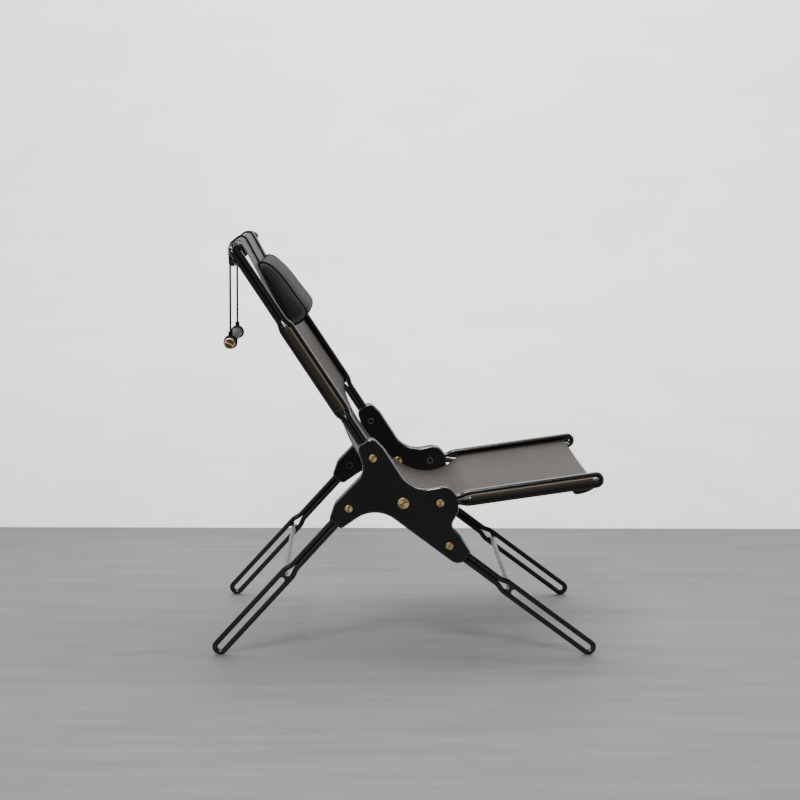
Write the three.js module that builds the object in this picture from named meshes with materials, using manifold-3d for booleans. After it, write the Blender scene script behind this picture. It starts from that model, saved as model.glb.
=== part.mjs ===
// Sling lounge chair: two lacquered side bodies clamp hairpin loops of round rod that make the legs,
// the seat rails and the back. One leather sling hangs in the loops, and a headrest cushion hangs on
// two cords that run over the top to a counterweight behind the back.
// Modelled in side view: x towards the seat's front, y up, z towards the near side. The last group
// stands it up, so that z is up and the near side faces -y. Millimetres.
import * as THREE from "three";
import { mergeVertices } from "three/addons/utils/BufferGeometryUtils.js";
import Module from "manifold-3d";

const wasm = await Module();
wasm.setup();

// Clearances shared by all pieces
const GAP = 0.3; // between pieces that touch
const OVERRUN = 2; // how far a cut runs past the face it opens
const WELD_SHARE = 1 / 300; // share of the gap within which vertices count as one

// Rod work
const ROD = 12; // rod diameter
const ROD_SIDES = 10;
const SMALL_SIDES = 14; // of a small turned piece
const LARGE_SIDES = 18; // and of a larger one
const TRACK = 560; // between the near and far rod planes
const SLOT = 11.4; // clear width inside a loop
const PART_ANGLE = THREE.MathUtils.degToRad(22); // how sharply two rods part into a loop
const ROD_START = 10; // from a screw's centre to the end of the rods it clamps

// Middle of the side bodies above the floor, and the other screws from there, in side view
const CENTRE_SCREW = new THREE.Vector2(-1.85, 337.05);
const TO_BACK_SCREW = new THREE.Vector2(-66.25, 97.55);
const TO_REAR_SCREW = new THREE.Vector2(-117.55, -12.15);
const TO_SEAT_SCREW = new THREE.Vector2(79.4, 0.55);
const TO_FRONT_SCREW = new THREE.Vector2(100.05, -93.35);

// Loops: where the bend's centre lies, and how far from the screw the rods part
const REAR_FOOT_X = -397.6;
const REAR_PART = 170;
const FRONT_FOOT_X = 404.4;
const FRONT_PART = 131;
const TO_SEAT_TIP = new THREE.Vector2(336.15, 49.35); // from the seat screw
const SEAT_PART = 36;
const FOOT_CHORD = THREE.MathUtils.degToRad(16); // the flat part of a foot's bend

// Back
const RECLINE = THREE.MathUtils.degToRad(33.7); // from upright
const BACK_PART = 98; // from the back screw to where the loop opens
const BACK_CLOSE = 328; // and to where it starts to close
const HOOK_AT = 533; // to the centre of the hook's bend
const HOOK_RADIUS = 7;
const HOOK_LEG = 18;
const BOW_AT = 538; // to the bow's cross run
const BOW_CORNER = 9;
const TUBE = 17; // top tube diameter
const TUBE_AT = { along: 537, out: 9.5 }; // its centre, from the back screw

// Side bodies
const BODY_THICKNESS = 30;
const BODY_EDGE = 5; // rounding of the edges
const BACK_LOBE = { reach: 41, left: 14.5, right: 23.5, leftRound: 19, rightRound: 18 };
const BACK_SHOULDER = { along: 4, out: 31, round: 45 };
const BACK_WAIST = { along: -16, out: 32, round: 32 };
const SEAT_LOBE = { reach: 38, up: 37, upRound: 34, down: 24, downRound: 17 };
const FRONT_LOBE = { reach: 50, out: 24.3, round: 24, tip: 46.5, tipOut: 16, tipRound: 6 };
const FRONT_SHOULDER = { along: 9, out: 30.5, round: 26 };
const REAR_LOBE = { reach: 46, out: 18, round: 12, tip: 46.5, tipOut: 15, tipRound: 6 };
const REAR_SHOULDER = { along: 12, out: 30, round: 26 };
const NOTCH = { along: -24.3, out: 36.5, round: 16 };
const UPPER_VALLEY = { side: 29.5, top: 33, round: 60 };
const LOWER_VALLEY = { front: 24.3, rear: 38, round: 69 };

// Screws, inserts and nuts
const SCREW = { head: 8.3, height: 4, sunk: 3, chamfer: 0.8, shank: 4 };
const CENTRE = { head: 12.3, height: 5, sunk: 3.2, chamfer: 1, shank: 5 };
const SCREW_SLOT = { width: 1.7, depth: 1.3 };
const SLOT_TURNS = { back: 0.7, rear: 1.4, seat: 2.1, front: 2.8, centre: 0.4, nut: 1.1, cap: -0.45 };
const INSERT = { radius: 8, length: 6, proud: 0.4 };
const NUT = { radius: 10.4, height: 5, sunk: 2, chamfer: 0.8 };

// Crossbars and spreader
const CROSSBAR = 11;
const SPOOL = { length: 18, hollow: 5, past: 6.5 };
const SPREADER = { past: 6, length: 53, top: 10, bottom: 27.5, nose: 17, heel: 12, belly: 12 };

// Sling and its hems
const HIDE = 2.5; // leather thickness
const DOWEL = 13;
const SEAT_DOWEL_TIP = { radius: 2, length: 20 }; // its rear end is drawn out
const HEM_STEPS = 8;
const BACK_HEM = { from: 123, to: 331, dowelFrom: 112, dowelTo: 340 };
const SEAT_HEM = { from: 67, to: 333, dowelFrom: 45, dowelTo: 345 };
const TOP_HEM_AT = 513; // from the back screw to the rear top dowel
const HIDE_HALF = 258; // half the width between the bodies
const HIDE_TOP_HALF = 240; // half the width over the top
const HIDE_ENTRY = 338; // where the free upper run meets the loop plane
const TO_HIDE_DIP = new THREE.Vector2(68.55, -23.55); // lowest point, from the bodies' middle
const HIDE_FALL = 70; // straightness of the hide below the back hems
const HIDE_LIE = 95; // flatness of the hide ahead of its dip
const HIDE_RISE = new THREE.Vector2(30, 15); // flatness behind and steepness into the seat rails
const BACK_SAG = 30;
const SEAT_SAG = 8;
const UPPER_STATION_SHARES = [0.35, 0.7, 1]; // along the free upper run
const UPPER_SAG_SHARES = [0.01, 0.06, 0.2];
const BACK_STATION_SHARES = [0, 0.24, 0.5, 0.76, 1]; // down the back hems
const BACK_SAG_SHARES = [0.27, 0.6, 0.92, 1, 0.9];
const FALL_SAG_SHARES = [0.55, 0.29, 0.11, 0, 0, 0, 0, 0]; // between the back hems and the dip
const SEAT_SAG_SHARES = [0.15, 0.75, 1, 0.85, 0.62]; // along the seat hems to the front edge
const WIDTH_SHARES = [-1, -0.82, -0.59, -0.3, 0, 0.3, 0.59, 0.82, 1];

// Headrest cushion, along and square to the sling's upper run
const PAD = { from: 325, to: 479, width: 310, thick: 45, crown: 13, draw: 4, edge: 2 };
const PAD_OUTLINE_SHARES = [
  [0.94, 0],
  [0.985, 0.06],
  [0.995, 0.17],
  [0.97, 0.33],
  [0.9, 0.51],
  [0.77, 0.67],
  [0.6, 0.79],
  [0.37, 0.895],
  [0.2, 0.985],
  [0.1, 1],
  [0.025, 0.82],
  [0, 0.45],
  [0.01, 0],
]; // along and thickness, from the upper back edge over the front to the lower back edge
const PAD_STEPS = 12;

// Cords and counterweight
const CORD = 4.5;
const CORD_SIDES = 8;
const CORD_LIFT = 0.45; // between cord and hide
const CORD_SPACING = 240;
const SWING_DROP = 35.4; // from the bow to where the cords come clear of the rear hem and swing
const WEIGHT = { length: 320, radius: 11, hang: 177 };
const WEIGHT_CAP = { radius: 11.6, thick: 6, chamfer: 1 };

const HALF_TRACK = TRACK / 2;
const ROD_R = ROD / 2;
const NECK = (ROD + GAP) / 2; // rod centre from the loop's middle line where rods touch
const OPEN = (ROD + SLOT) / 2; // and where the loop is open
const PART_RADIUS = (OPEN - NECK) / (2 * (1 - Math.cos(PART_ANGLE)));
const PART_LENGTH = 2 * PART_RADIUS * Math.sin(PART_ANGLE);
const FOOT_REACH = OPEN + ROD_R * Math.cos(Math.PI / ROD_SIDES);
const FOOT_HEIGHT = FOOT_REACH * Math.cos(FOOT_CHORD / 2);
const DOWN = new THREE.Vector2(0, -1);
const BACK_SCREW = CENTRE_SCREW.clone().add(TO_BACK_SCREW);
const REAR_SCREW = CENTRE_SCREW.clone().add(TO_REAR_SCREW);
const SEAT_SCREW = CENTRE_SCREW.clone().add(TO_SEAT_SCREW);
const FRONT_SCREW = CENTRE_SCREW.clone().add(TO_FRONT_SCREW);
const SEAT_TIP = SEAT_SCREW.clone().add(TO_SEAT_TIP);
const HIDE_DIP = CENTRE_SCREW.clone().add(TO_HIDE_DIP);
const Z_AXIS = new THREE.Vector3(0, 0, 1);

// ---------- helpers: solids ----------

function toSolid(geometry) {
  const bare = geometry.clone();
  bare.deleteAttribute("normal");
  bare.deleteAttribute("uv");
  const merged = mergeVertices(bare, GAP * WELD_SHARE);
  return new wasm.Manifold(
    new wasm.Mesh({
      numProp: 3,
      vertProperties: merged.attributes.position.array,
      triVerts: new Uint32Array(merged.index.array),
    }),
  );
}

function toGeometry(solid) {
  const mesh = solid.getMesh();
  const geometry = new THREE.BufferGeometry();
  geometry.setAttribute("position", new THREE.BufferAttribute(mesh.vertProperties, mesh.numProp));
  geometry.setIndex(new THREE.BufferAttribute(mesh.triVerts, 1));
  geometry.computeVertexNormals();
  return geometry;
}

function cut(geometry, cutters) {
  let solid = toSolid(geometry);
  for (const cutter of cutters) {
    solid = solid.subtract(toSolid(cutter));
  }
  return toGeometry(solid);
}

// A turned piece about z, from its profile of (radius, z) points that starts and ends on the axis.
function turned(profile, sides) {
  const geometry = new THREE.LatheGeometry(
    profile.map(([radius, along]) => new THREE.Vector2(radius, along)),
    sides,
  );
  return geometry.rotateX(Math.PI / 2);
}

// A plain bar or bore cutter about z between two heights.
function bar(radius, from, to, sides) {
  const geometry = new THREE.CylinderGeometry(radius, radius, to - from, sides);
  return geometry.rotateX(Math.PI / 2).translate(0, 0, (from + to) / 2);
}

// ---------- helpers: side view frames ----------

// A line from a screw along a heading: at(along, left) gives points beside it.
function axisFrom(origin, heading) {
  const along = heading.clone().normalize();
  const left = new THREE.Vector2(-along.y, along.x);
  return {
    origin,
    along,
    left,
    at: (distance, aside) => origin.clone().addScaledVector(along, distance).addScaledVector(left, aside),
  };
}

const rearAxis = axisFrom(REAR_SCREW, new THREE.Vector2(REAR_FOOT_X, FOOT_HEIGHT).sub(REAR_SCREW));
const frontAxis = axisFrom(FRONT_SCREW, new THREE.Vector2(FRONT_FOOT_X, FOOT_HEIGHT).sub(FRONT_SCREW));
const seatAxis = axisFrom(SEAT_SCREW, SEAT_TIP.clone().sub(SEAT_SCREW));
const backAxis = axisFrom(BACK_SCREW, new THREE.Vector2(-Math.sin(RECLINE), Math.cos(RECLINE)));

// Where two lines meet, each from a point along a direction.
function meet(p, d, q, e) {
  const cross = d.x * e.y - d.y * e.x;
  const t = ((q.x - p.x) * e.y - (q.y - p.y) * e.x) / cross;
  return p.clone().addScaledVector(d, t);
}

// The angle of the outer normal of a line that touches two circles on their left, going from a to b.
function touchAngle(a, radiusA, b, radiusB) {
  const apart = b.clone().sub(a);
  const lean = Math.asin((radiusA - radiusB) / apart.length());
  return apart.angle() + Math.PI / 2 - lean;
}

function around(centre, radius, angle) {
  return new THREE.Vector2(centre.x + radius * Math.cos(angle), centre.y + radius * Math.sin(angle));
}

// ---------- helpers: bent rods and cords ----------

// The centre line of a bent rod. A straight run takes one step and a bend takes several.
class BentLine extends THREE.Curve {
  constructor(start, heading) {
    super();
    this.stations = [{ point: start.clone(), tangent: heading.clone().normalize() }];
  }

  run(length) {
    const { point, tangent } = this.stations.at(-1);
    this.stations.push({ point: point.clone().addScaledVector(tangent, length), tangent: tangent.clone() });
    return this;
  }

  turn(angle, radius, steps, axis = Z_AXIS) {
    const { point, tangent } = this.stations.at(-1);
    const inward = new THREE.Vector3().crossVectors(axis, tangent).multiplyScalar(Math.sign(angle) * radius);
    const centre = point.clone().add(inward);
    for (let i = 1; i <= steps; i += 1) {
      const part = (angle * i) / steps;
      this.stations.push({
        point: point.clone().sub(centre).applyAxisAngle(axis, part).add(centre),
        tangent: tangent.clone().applyAxisAngle(axis, part),
      });
    }
    return this;
  }

  // Two rods part or close by an S of two bends. The side is 1 to the left and -1 to the right.
  shift(side) {
    return this.turn(side * PART_ANGLE, PART_RADIUS, 2).turn(-side * PART_ANGLE, PART_RADIUS, 2);
  }

  get steps() {
    return this.stations.length - 1;
  }

  getPoint(t, target = new THREE.Vector3()) {
    return target.copy(this.stations[Math.round(t * this.steps)].point);
  }

  getPointAt(u, target) {
    return this.getPoint(u, target);
  }

  getTangent(t, target = new THREE.Vector3()) {
    return target.copy(this.stations[Math.round(t * this.steps)].tangent);
  }

  getTangentAt(u, target) {
    return this.getTangent(u, target);
  }
}

function roundSection(diameter, sides) {
  const points = [];
  for (let i = 0; i < sides; i += 1) {
    const angle = (2 * Math.PI * i) / sides;
    points.push(new THREE.Vector2(Math.cos(angle), Math.sin(angle)).multiplyScalar(diameter / 2));
  }
  return new THREE.Shape(points);
}

function swept(line, diameter, sides) {
  return new THREE.ExtrudeGeometry(roundSection(diameter, sides), {
    steps: line.steps,
    extrudePath: line,
    bevelEnabled: false,
  });
}

function lift(point, z) {
  return new THREE.Vector3(point.x, point.y, z);
}

// ---------- rod loops ----------

// A hairpin: two touching rods that part into a loop and join in a half round.
function hairpin(axis, partAt, endAt, z, halfRound) {
  const heading = lift(axis.along, 0);
  const line = new BentLine(lift(axis.at(ROD_START, NECK), z), heading);
  const neck = partAt - ROD_START;
  const open = endAt - partAt - PART_LENGTH;
  line.run(neck).shift(1).run(open);
  halfRound(line);
  line.run(open).shift(-1).run(neck);
  return swept(line, ROD, ROD_SIDES);
}

// A foot's half round has one flat chord at its lowest point, where it stands on the floor.
function legLoop(axis, partAt, footX, z) {
  const endAt = new THREE.Vector2(footX, FOOT_HEIGHT).distanceTo(axis.origin);
  const toDown = axis.left.angle() - DOWN.angle();
  const before = THREE.MathUtils.euclideanModulo(toDown, 2 * Math.PI) - FOOT_CHORD / 2;
  const after = Math.PI - before - FOOT_CHORD;
  const stepsBefore = Math.max(2, Math.round((6 * before) / Math.PI));
  return hairpin(axis, partAt, endAt, z, (line) => {
    line.turn(-before, OPEN, stepsBefore);
    line.turn(-FOOT_CHORD, OPEN, 1);
    line.turn(-after, OPEN, Math.max(2, 7 - stepsBefore));
  });
}

function seatLoop(z) {
  const endAt = SEAT_TIP.distanceTo(SEAT_SCREW);
  return hairpin(seatAxis, SEAT_PART, endAt, z, (line) => line.turn(-Math.PI, OPEN, 8));
}

// The front rod of a back loop ends in a hook that is bent over forwards.
function hookRod(z) {
  const line = new BentLine(lift(backAxis.at(ROD_START, -NECK), z), lift(backAxis.along, 0));
  line.run(BACK_PART - ROD_START).shift(-1);
  line.run(BACK_CLOSE - BACK_PART - PART_LENGTH).shift(1);
  line.run(HOOK_AT - BACK_CLOSE - PART_LENGTH);
  line.turn(-Math.PI, HOOK_RADIUS, 8).run(HOOK_LEG);
  return swept(line, ROD, ROD_SIDES);
}

// The rear rods of both back loops are one bow that crosses over at the top.
function backBow() {
  const up = lift(backAxis.along, 0);
  const across = new THREE.Vector3().crossVectors(up, new THREE.Vector3(0, 0, -1));
  const line = new BentLine(lift(backAxis.at(ROD_START, NECK), HALF_TRACK), up);
  const neck = BACK_PART - ROD_START;
  const open = BACK_CLOSE - BACK_PART - PART_LENGTH;
  const top = BOW_AT - BOW_CORNER - BACK_CLOSE - PART_LENGTH;
  line.run(neck).shift(1).run(open).shift(-1).run(top);
  line.turn(Math.PI / 2, BOW_CORNER, 4, across);
  line.run(TRACK - 2 * BOW_CORNER);
  line.turn(Math.PI / 2, BOW_CORNER, 4, across);
  line.run(top).shift(-1).run(open).shift(1).run(neck);
  return swept(line, ROD, ROD_SIDES);
}

const tubeCentre = backAxis.at(TUBE_AT.along, -TUBE_AT.out);
const bowCentre = backAxis.at(BOW_AT, NECK);

function topTube() {
  const half = HALF_TRACK - ROD_R - GAP;
  return bar(TUBE / 2, -half, half, 16);
}

// ---------- side bodies ----------

// A closed outline of straight sides with each corner rounded to its own radius.
function roundedOutline(corners) {
  const shape = new THREE.Shape();
  corners.forEach(({ point, round }, i) => {
    const before = corners.at(i - 1).point.clone().sub(point).normalize();
    const after = corners[(i + 1) % corners.length].point.clone().sub(point).normalize();
    const half = Math.acos(THREE.MathUtils.clamp(before.dot(after), -1, 1)) / 2;
    const start = point.clone().addScaledVector(before, round / Math.tan(half));
    const end = point.clone().addScaledVector(after, round / Math.tan(half));
    const middle = before.clone().add(after).normalize();
    const centre = point.clone().addScaledVector(middle, round / Math.sin(half));
    const clockwise = before.x * after.y - before.y * after.x > 0;
    if (i === 0) shape.moveTo(start.x, start.y);
    else shape.lineTo(start.x, start.y);
    const from = start.clone().sub(centre).angle();
    const to = end.clone().sub(centre).angle();
    shape.absarc(centre.x, centre.y, round, from, to, clockwise);
  });
  shape.closePath();
  return shape;
}

function bodyOutline() {
  const shoulder = backAxis.at(BACK_SHOULDER.along, -BACK_SHOULDER.out);
  const upperValley = meet(
    backAxis.at(0, -UPPER_VALLEY.side),
    backAxis.along,
    seatAxis.at(0, UPPER_VALLEY.top),
    seatAxis.along,
  );
  const lowerValley = meet(
    frontAxis.at(0, -LOWER_VALLEY.front),
    frontAxis.along,
    rearAxis.at(0, LOWER_VALLEY.rear),
    rearAxis.along,
  );
  return roundedOutline([
    { point: backAxis.at(BACK_LOBE.reach, BACK_LOBE.left), round: BACK_LOBE.leftRound },
    { point: backAxis.at(BACK_LOBE.reach, -BACK_LOBE.right), round: BACK_LOBE.rightRound },
    { point: shoulder, round: BACK_SHOULDER.round },
    { point: upperValley, round: UPPER_VALLEY.round },
    { point: seatAxis.at(SEAT_LOBE.reach, SEAT_LOBE.up), round: SEAT_LOBE.upRound },
    { point: seatAxis.at(SEAT_LOBE.reach, -SEAT_LOBE.down), round: SEAT_LOBE.downRound },
    { point: frontAxis.at(NOTCH.along, NOTCH.out), round: NOTCH.round },
    { point: frontAxis.at(FRONT_SHOULDER.along, FRONT_SHOULDER.out), round: FRONT_SHOULDER.round },
    { point: frontAxis.at(FRONT_LOBE.tip, FRONT_LOBE.tipOut), round: FRONT_LOBE.tipRound },
    { point: frontAxis.at(FRONT_LOBE.reach, -FRONT_LOBE.out), round: FRONT_LOBE.round },
    { point: lowerValley, round: LOWER_VALLEY.round },
    { point: rearAxis.at(REAR_LOBE.reach, REAR_LOBE.out), round: REAR_LOBE.round },
    { point: rearAxis.at(REAR_LOBE.tip, -REAR_LOBE.tipOut), round: REAR_LOBE.tipRound },
    { point: rearAxis.at(REAR_SHOULDER.along, -REAR_SHOULDER.out), round: REAR_SHOULDER.round },
    { point: backAxis.at(BACK_WAIST.along, BACK_WAIST.out), round: BACK_WAIST.round },
  ]);
}

// The channel that a pair of touching rods lies in.
function rodChannel(axis) {
  const radius = (ROD_R + GAP) / Math.cos(Math.PI / 12);
  const shape = new THREE.Shape();
  shape.absarc(NECK, 0, radius, -Math.PI / 2, Math.PI / 2, false);
  shape.absarc(-NECK, 0, radius, Math.PI / 2, (3 * Math.PI) / 2, false);
  shape.closePath();
  const length = Math.max(BACK_LOBE.reach, FRONT_LOBE.reach) + BODY_EDGE;
  const geometry = new THREE.ExtrudeGeometry(shape, {
    depth: length,
    steps: 1,
    curveSegments: 3,
    bevelEnabled: false,
  });
  const start = lift(axis.at(ROD_START - GAP, 0), 0);
  const frame = new THREE.Matrix4().makeBasis(lift(axis.left, 0), Z_AXIS, lift(axis.along, 0));
  if (frame.determinant() < 0) {
    frame.makeBasis(lift(axis.left, 0).negate(), Z_AXIS, lift(axis.along, 0));
  }
  return geometry.applyMatrix4(frame.setPosition(start));
}

const SMALL_SCREWS = { back: BACK_SCREW, rear: REAR_SCREW, seat: SEAT_SCREW, front: FRONT_SCREW };

// One cheek of a side body. The face is 1 towards +z and -1 towards -z; outer cheeks take the heads.
function cheek(face, outer) {
  const whole = new THREE.ExtrudeGeometry(bodyOutline(), {
    depth: BODY_THICKNESS - 2 * BODY_EDGE,
    steps: 1,
    curveSegments: 3,
    bevelThickness: BODY_EDGE,
    bevelSize: BODY_EDGE,
    bevelOffset: -BODY_EDGE,
    bevelSegments: 2,
  });
  whole.translate(0, 0, BODY_EDGE - BODY_THICKNESS / 2);
  const reach = BODY_THICKNESS + OVERRUN;
  const across = Math.abs(REAR_FOOT_X) + Math.abs(FRONT_FOOT_X);
  const other = new THREE.BoxGeometry(across, across, reach);
  other.translate(0, BACK_SCREW.y, -face * (reach / 2 - GAP / 2));
  const cutters = [other, rodChannel(backAxis), rodChannel(rearAxis), rodChannel(seatAxis), rodChannel(frontAxis)];
  const skin = (face * BODY_THICKNESS) / 2;
  const drill = (at, radius, depth, sides) => {
    const far = skin + face * OVERRUN;
    const near = skin - face * depth;
    const tool = bar(radius, Math.min(far, near), Math.max(far, near), sides);
    cutters.push(tool.translate(at.x, at.y, 0));
  };
  for (const at of Object.values(SMALL_SCREWS)) {
    drill(at, SCREW.shank + GAP, BODY_THICKNESS, 12);
    if (outer) drill(at, SCREW.head + GAP, SCREW.sunk, 20);
    else drill(at, INSERT.radius + GAP, INSERT.length - INSERT.proud + GAP, 16);
  }
  drill(CENTRE_SCREW, CENTRE.shank + GAP, BODY_THICKNESS, 12);
  if (outer) drill(CENTRE_SCREW, CENTRE.head + GAP, CENTRE.sunk, 20);
  else drill(CENTRE_SCREW, NUT.radius + GAP, NUT.sunk, 20);
  return cut(whole, cutters);
}

// ---------- screws, inserts and nuts ----------

// A slotted screw about z with its head's seat at zero and its head towards +z.
function screw({ head, height, chamfer, shank }, length, sides) {
  const body = turned(
    [
      [0, -length],
      [shank, -length],
      [shank, 0],
      [head, 0],
      [head, height - chamfer],
      [head - chamfer, height],
      [0, height],
    ],
    sides,
  );
  return cut(body, [screwSlot(head, height)]);
}

function screwSlot(radius, height) {
  const slot = new THREE.BoxGeometry(2 * (radius + OVERRUN), SCREW_SLOT.width, SCREW_SLOT.depth + OVERRUN);
  return slot.translate(0, 0, height - SCREW_SLOT.depth + (SCREW_SLOT.depth + OVERRUN) / 2);
}

function insert() {
  const ring = bar(INSERT.radius, 0, INSERT.length, 16);
  return cut(ring, [bar(SCREW.shank + GAP, -OVERRUN, INSERT.length + OVERRUN, 12)]);
}

// A turned disc with a screwdriver slot, used as nut and as weight cap.
function slottedDisc(radius, height, chamfer, sides) {
  const body = turned(
    [
      [0, 0],
      [radius, 0],
      [radius, height - chamfer],
      [radius - chamfer, height],
      [0, height],
    ],
    sides,
  );
  return cut(body, [screwSlot(radius, height)]);
}

// ---------- crossbars, spools and spreader ----------

// A saddle fills the eye of a leg loop between its rods, hollow at both ends. It carries the crossbar.
function spool(axis) {
  const half = SPOOL.length / 2;
  const side = SLOT / 2 - GAP;
  const waist = half - 2 * SPOOL.hollow;
  const shape = new THREE.Shape();
  shape.moveTo(-side, -half);
  shape.quadraticCurveTo(0, -waist, side, -half);
  shape.lineTo(side, half);
  shape.quadraticCurveTo(0, waist, -side, half);
  shape.closePath();
  const geometry = new THREE.ExtrudeGeometry(shape, {
    depth: ROD,
    steps: 1,
    curveSegments: 5,
    bevelEnabled: false,
  });
  geometry.translate(0, 0, -ROD_R);
  return geometry.rotateZ(axis.along.angle() - Math.PI / 2);
}

function crossbar() {
  const half = HALF_TRACK - ROD_R - GAP;
  return bar(CROSSBAR / 2, -half, half, 12);
}

// The spreader's section lies under the seat's front, blunt behind and drawn out ahead.
function spreader() {
  const { past, length, top, bottom, nose, heel, belly } = SPREADER;
  const to = SEAT_HEM.to + past;
  const from = to - length;
  const at = (along, down) => seatAxis.at(along, -down);
  const shape = new THREE.Shape();
  const points = [
    at(from, top),
    at(from, heel),
    at(from, bottom),
    at(from + belly, bottom),
    at(to - nose, bottom),
    at(to, nose),
    at(to, top),
  ];
  shape.moveTo(points[0].x, points[0].y);
  shape.lineTo(points[1].x, points[1].y);
  shape.quadraticCurveTo(points[2].x, points[2].y, points[3].x, points[3].y);
  shape.quadraticCurveTo(points[4].x, points[4].y, points[5].x, points[5].y);
  shape.lineTo(points[6].x, points[6].y);
  shape.closePath();
  const half = HALF_TRACK - ROD_R - GAP;
  const geometry = new THREE.ExtrudeGeometry(shape, {
    depth: 2 * half,
    steps: 1,
    curveSegments: 5,
    bevelEnabled: false,
  });
  return geometry.translate(0, 0, -half);
}

// ---------- sling ----------

const HEM_STEP = THREE.MathUtils.degToRad(290) / HEM_STEPS;
const HEM_MID = (DOWEL / 2 + GAP + HIDE / 2) / Math.cos(HEM_STEP / 2); // hide's middle about a dowel
const HEM_OUT = Math.sqrt((HEM_MID + HIDE / 2 + ROD_R + GAP) ** 2 - OPEN ** 2); // dowel from rod plane
const TUBE_MID = TUBE / 2 + GAP + HIDE / 2;
const BOW_MID = ROD_R + GAP + HIDE / 2;
const topDowel = backAxis.at(TOP_HEM_AT, NECK + ROD_R + GAP + DOWEL / 2);
const hideEntry = backAxis.at(HIDE_ENTRY, 0);

// Normal angles of the hide where it leaves each round it goes over, in order from the rear hem.
const hemToBow = touchAngle(topDowel, HEM_MID, bowCentre, BOW_MID);
const bowToTube = touchAngle(bowCentre, BOW_MID, tubeCentre, TUBE_MID);
const tubeToEntry = touchAngle(tubeCentre, TUBE_MID, hideEntry, 0);

function less(angle, than) {
  return than - THREE.MathUtils.euclideanModulo(than - angle, 2 * Math.PI);
}

// The hide's middle line in side view, with its half width, sag and hem at each row.
function hideRows() {
  const rows = [];
  const add = (point, half, sag = 0, hem = null) => rows.push({ point, half, sag, hem });
  for (let i = 0; i <= HEM_STEPS; i += 1) {
    add(around(topDowel, HEM_MID, hemToBow + HEM_STEP * (HEM_STEPS - i)), HIDE_TOP_HALF);
  }
  const bowEnd = less(bowToTube, hemToBow);
  for (let i = 0; i <= 3; i += 1) {
    add(around(bowCentre, BOW_MID, hemToBow + ((bowEnd - hemToBow) * i) / 3), HIDE_TOP_HALF);
  }
  const tubeEnd = less(tubeToEntry, bowEnd);
  for (let i = 0; i <= 5; i += 1) {
    add(around(tubeCentre, TUBE_MID, bowEnd + ((tubeEnd - bowEnd) * i) / 5), HIDE_TOP_HALF);
  }
  const last = rows.at(-1).point.clone();
  UPPER_STATION_SHARES.forEach((share, i) => {
    const half = THREE.MathUtils.lerp(HIDE_TOP_HALF, HIDE_HALF, share);
    add(last.clone().lerp(hideEntry, share), half, BACK_SAG * UPPER_SAG_SHARES[i]);
  });
  BACK_STATION_SHARES.forEach((share, i) => {
    const along = THREE.MathUtils.lerp(BACK_HEM.to, BACK_HEM.from, share);
    add(backAxis.at(along, 0), HIDE_HALF, BACK_SAG * BACK_SAG_SHARES[i], backAxis);
  });
  const leave = backAxis.at(BACK_HEM.from, 0);
  const enter = seatAxis.at(SEAT_HEM.from, 0);
  const fall = new THREE.CubicBezierCurve(
    leave,
    leave.clone().add(new THREE.Vector2(0, -HIDE_FALL)),
    HIDE_DIP.clone().add(new THREE.Vector2(-HIDE_LIE, 0)),
    HIDE_DIP,
  );
  const rise = new THREE.CubicBezierCurve(
    HIDE_DIP,
    HIDE_DIP.clone().add(new THREE.Vector2(HIDE_RISE.x, 0)),
    enter.clone().sub(new THREE.Vector2(HIDE_RISE.y, HIDE_RISE.y)),
    enter,
  );
  FALL_SAG_SHARES.forEach((share, i) => {
    add(fall.getPoint((i + 1) / FALL_SAG_SHARES.length), HIDE_HALF, BACK_SAG * share);
  });
  for (let i = 1; i < 4; i += 1) {
    add(rise.getPoint(i / 4), HIDE_HALF);
  }
  SEAT_SAG_SHARES.forEach((share, i) => {
    const along = THREE.MathUtils.lerp(SEAT_HEM.from, SEAT_HEM.to, i / (SEAT_SAG_SHARES.length - 1));
    add(seatAxis.at(along, 0), HIDE_HALF, SEAT_SAG * share, seatAxis);
  });
  return rows;
}

// How a hem leaves the hide's edge, passes the slot and goes round its dowel: (out, aside) points.
function hemProfile() {
  const lead = THREE.MathUtils.degToRad(135);
  const climb = Math.PI - lead;
  const join = around(new THREE.Vector2(HEM_OUT, 0), HEM_MID, lead);
  const bend = join.y / (1 - Math.cos(climb));
  const start = join.x - bend * Math.sin(climb);
  const points = [new THREE.Vector2(start, 0)];
  points.push(new THREE.Vector2(start + bend * Math.sin(climb / 2), bend * (1 - Math.cos(climb / 2))));
  for (let i = 0; i <= HEM_STEPS; i += 1) {
    points.push(around(new THREE.Vector2(HEM_OUT, 0), HEM_MID, lead - HEM_STEP * i));
  }
  return points;
}

// One row of the hide across the chair: main width, and on each side the hem where the row has one.
function hideRow(row, before, after, hem) {
  const travel = after.point.clone().sub(before.point).normalize();
  const under = new THREE.Vector2(travel.y, -travel.x);
  const middle = WIDTH_SHARES.map((share) => {
    const point = row.point.clone().addScaledVector(under, row.sag * (1 - share * share));
    return lift(point, share * row.half);
  });
  const side = (sign) =>
    hem.map(({ x: out, y: aside }) => {
      if (!row.hem) return null;
      const facing = row.hem === backAxis ? -1 : 1;
      const point = row.point.clone().addScaledVector(row.hem.left, facing * aside);
      return lift(point, sign * (HALF_TRACK + out));
    });
  return [...side(-1).reverse(), ...middle, ...side(1)];
}

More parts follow.
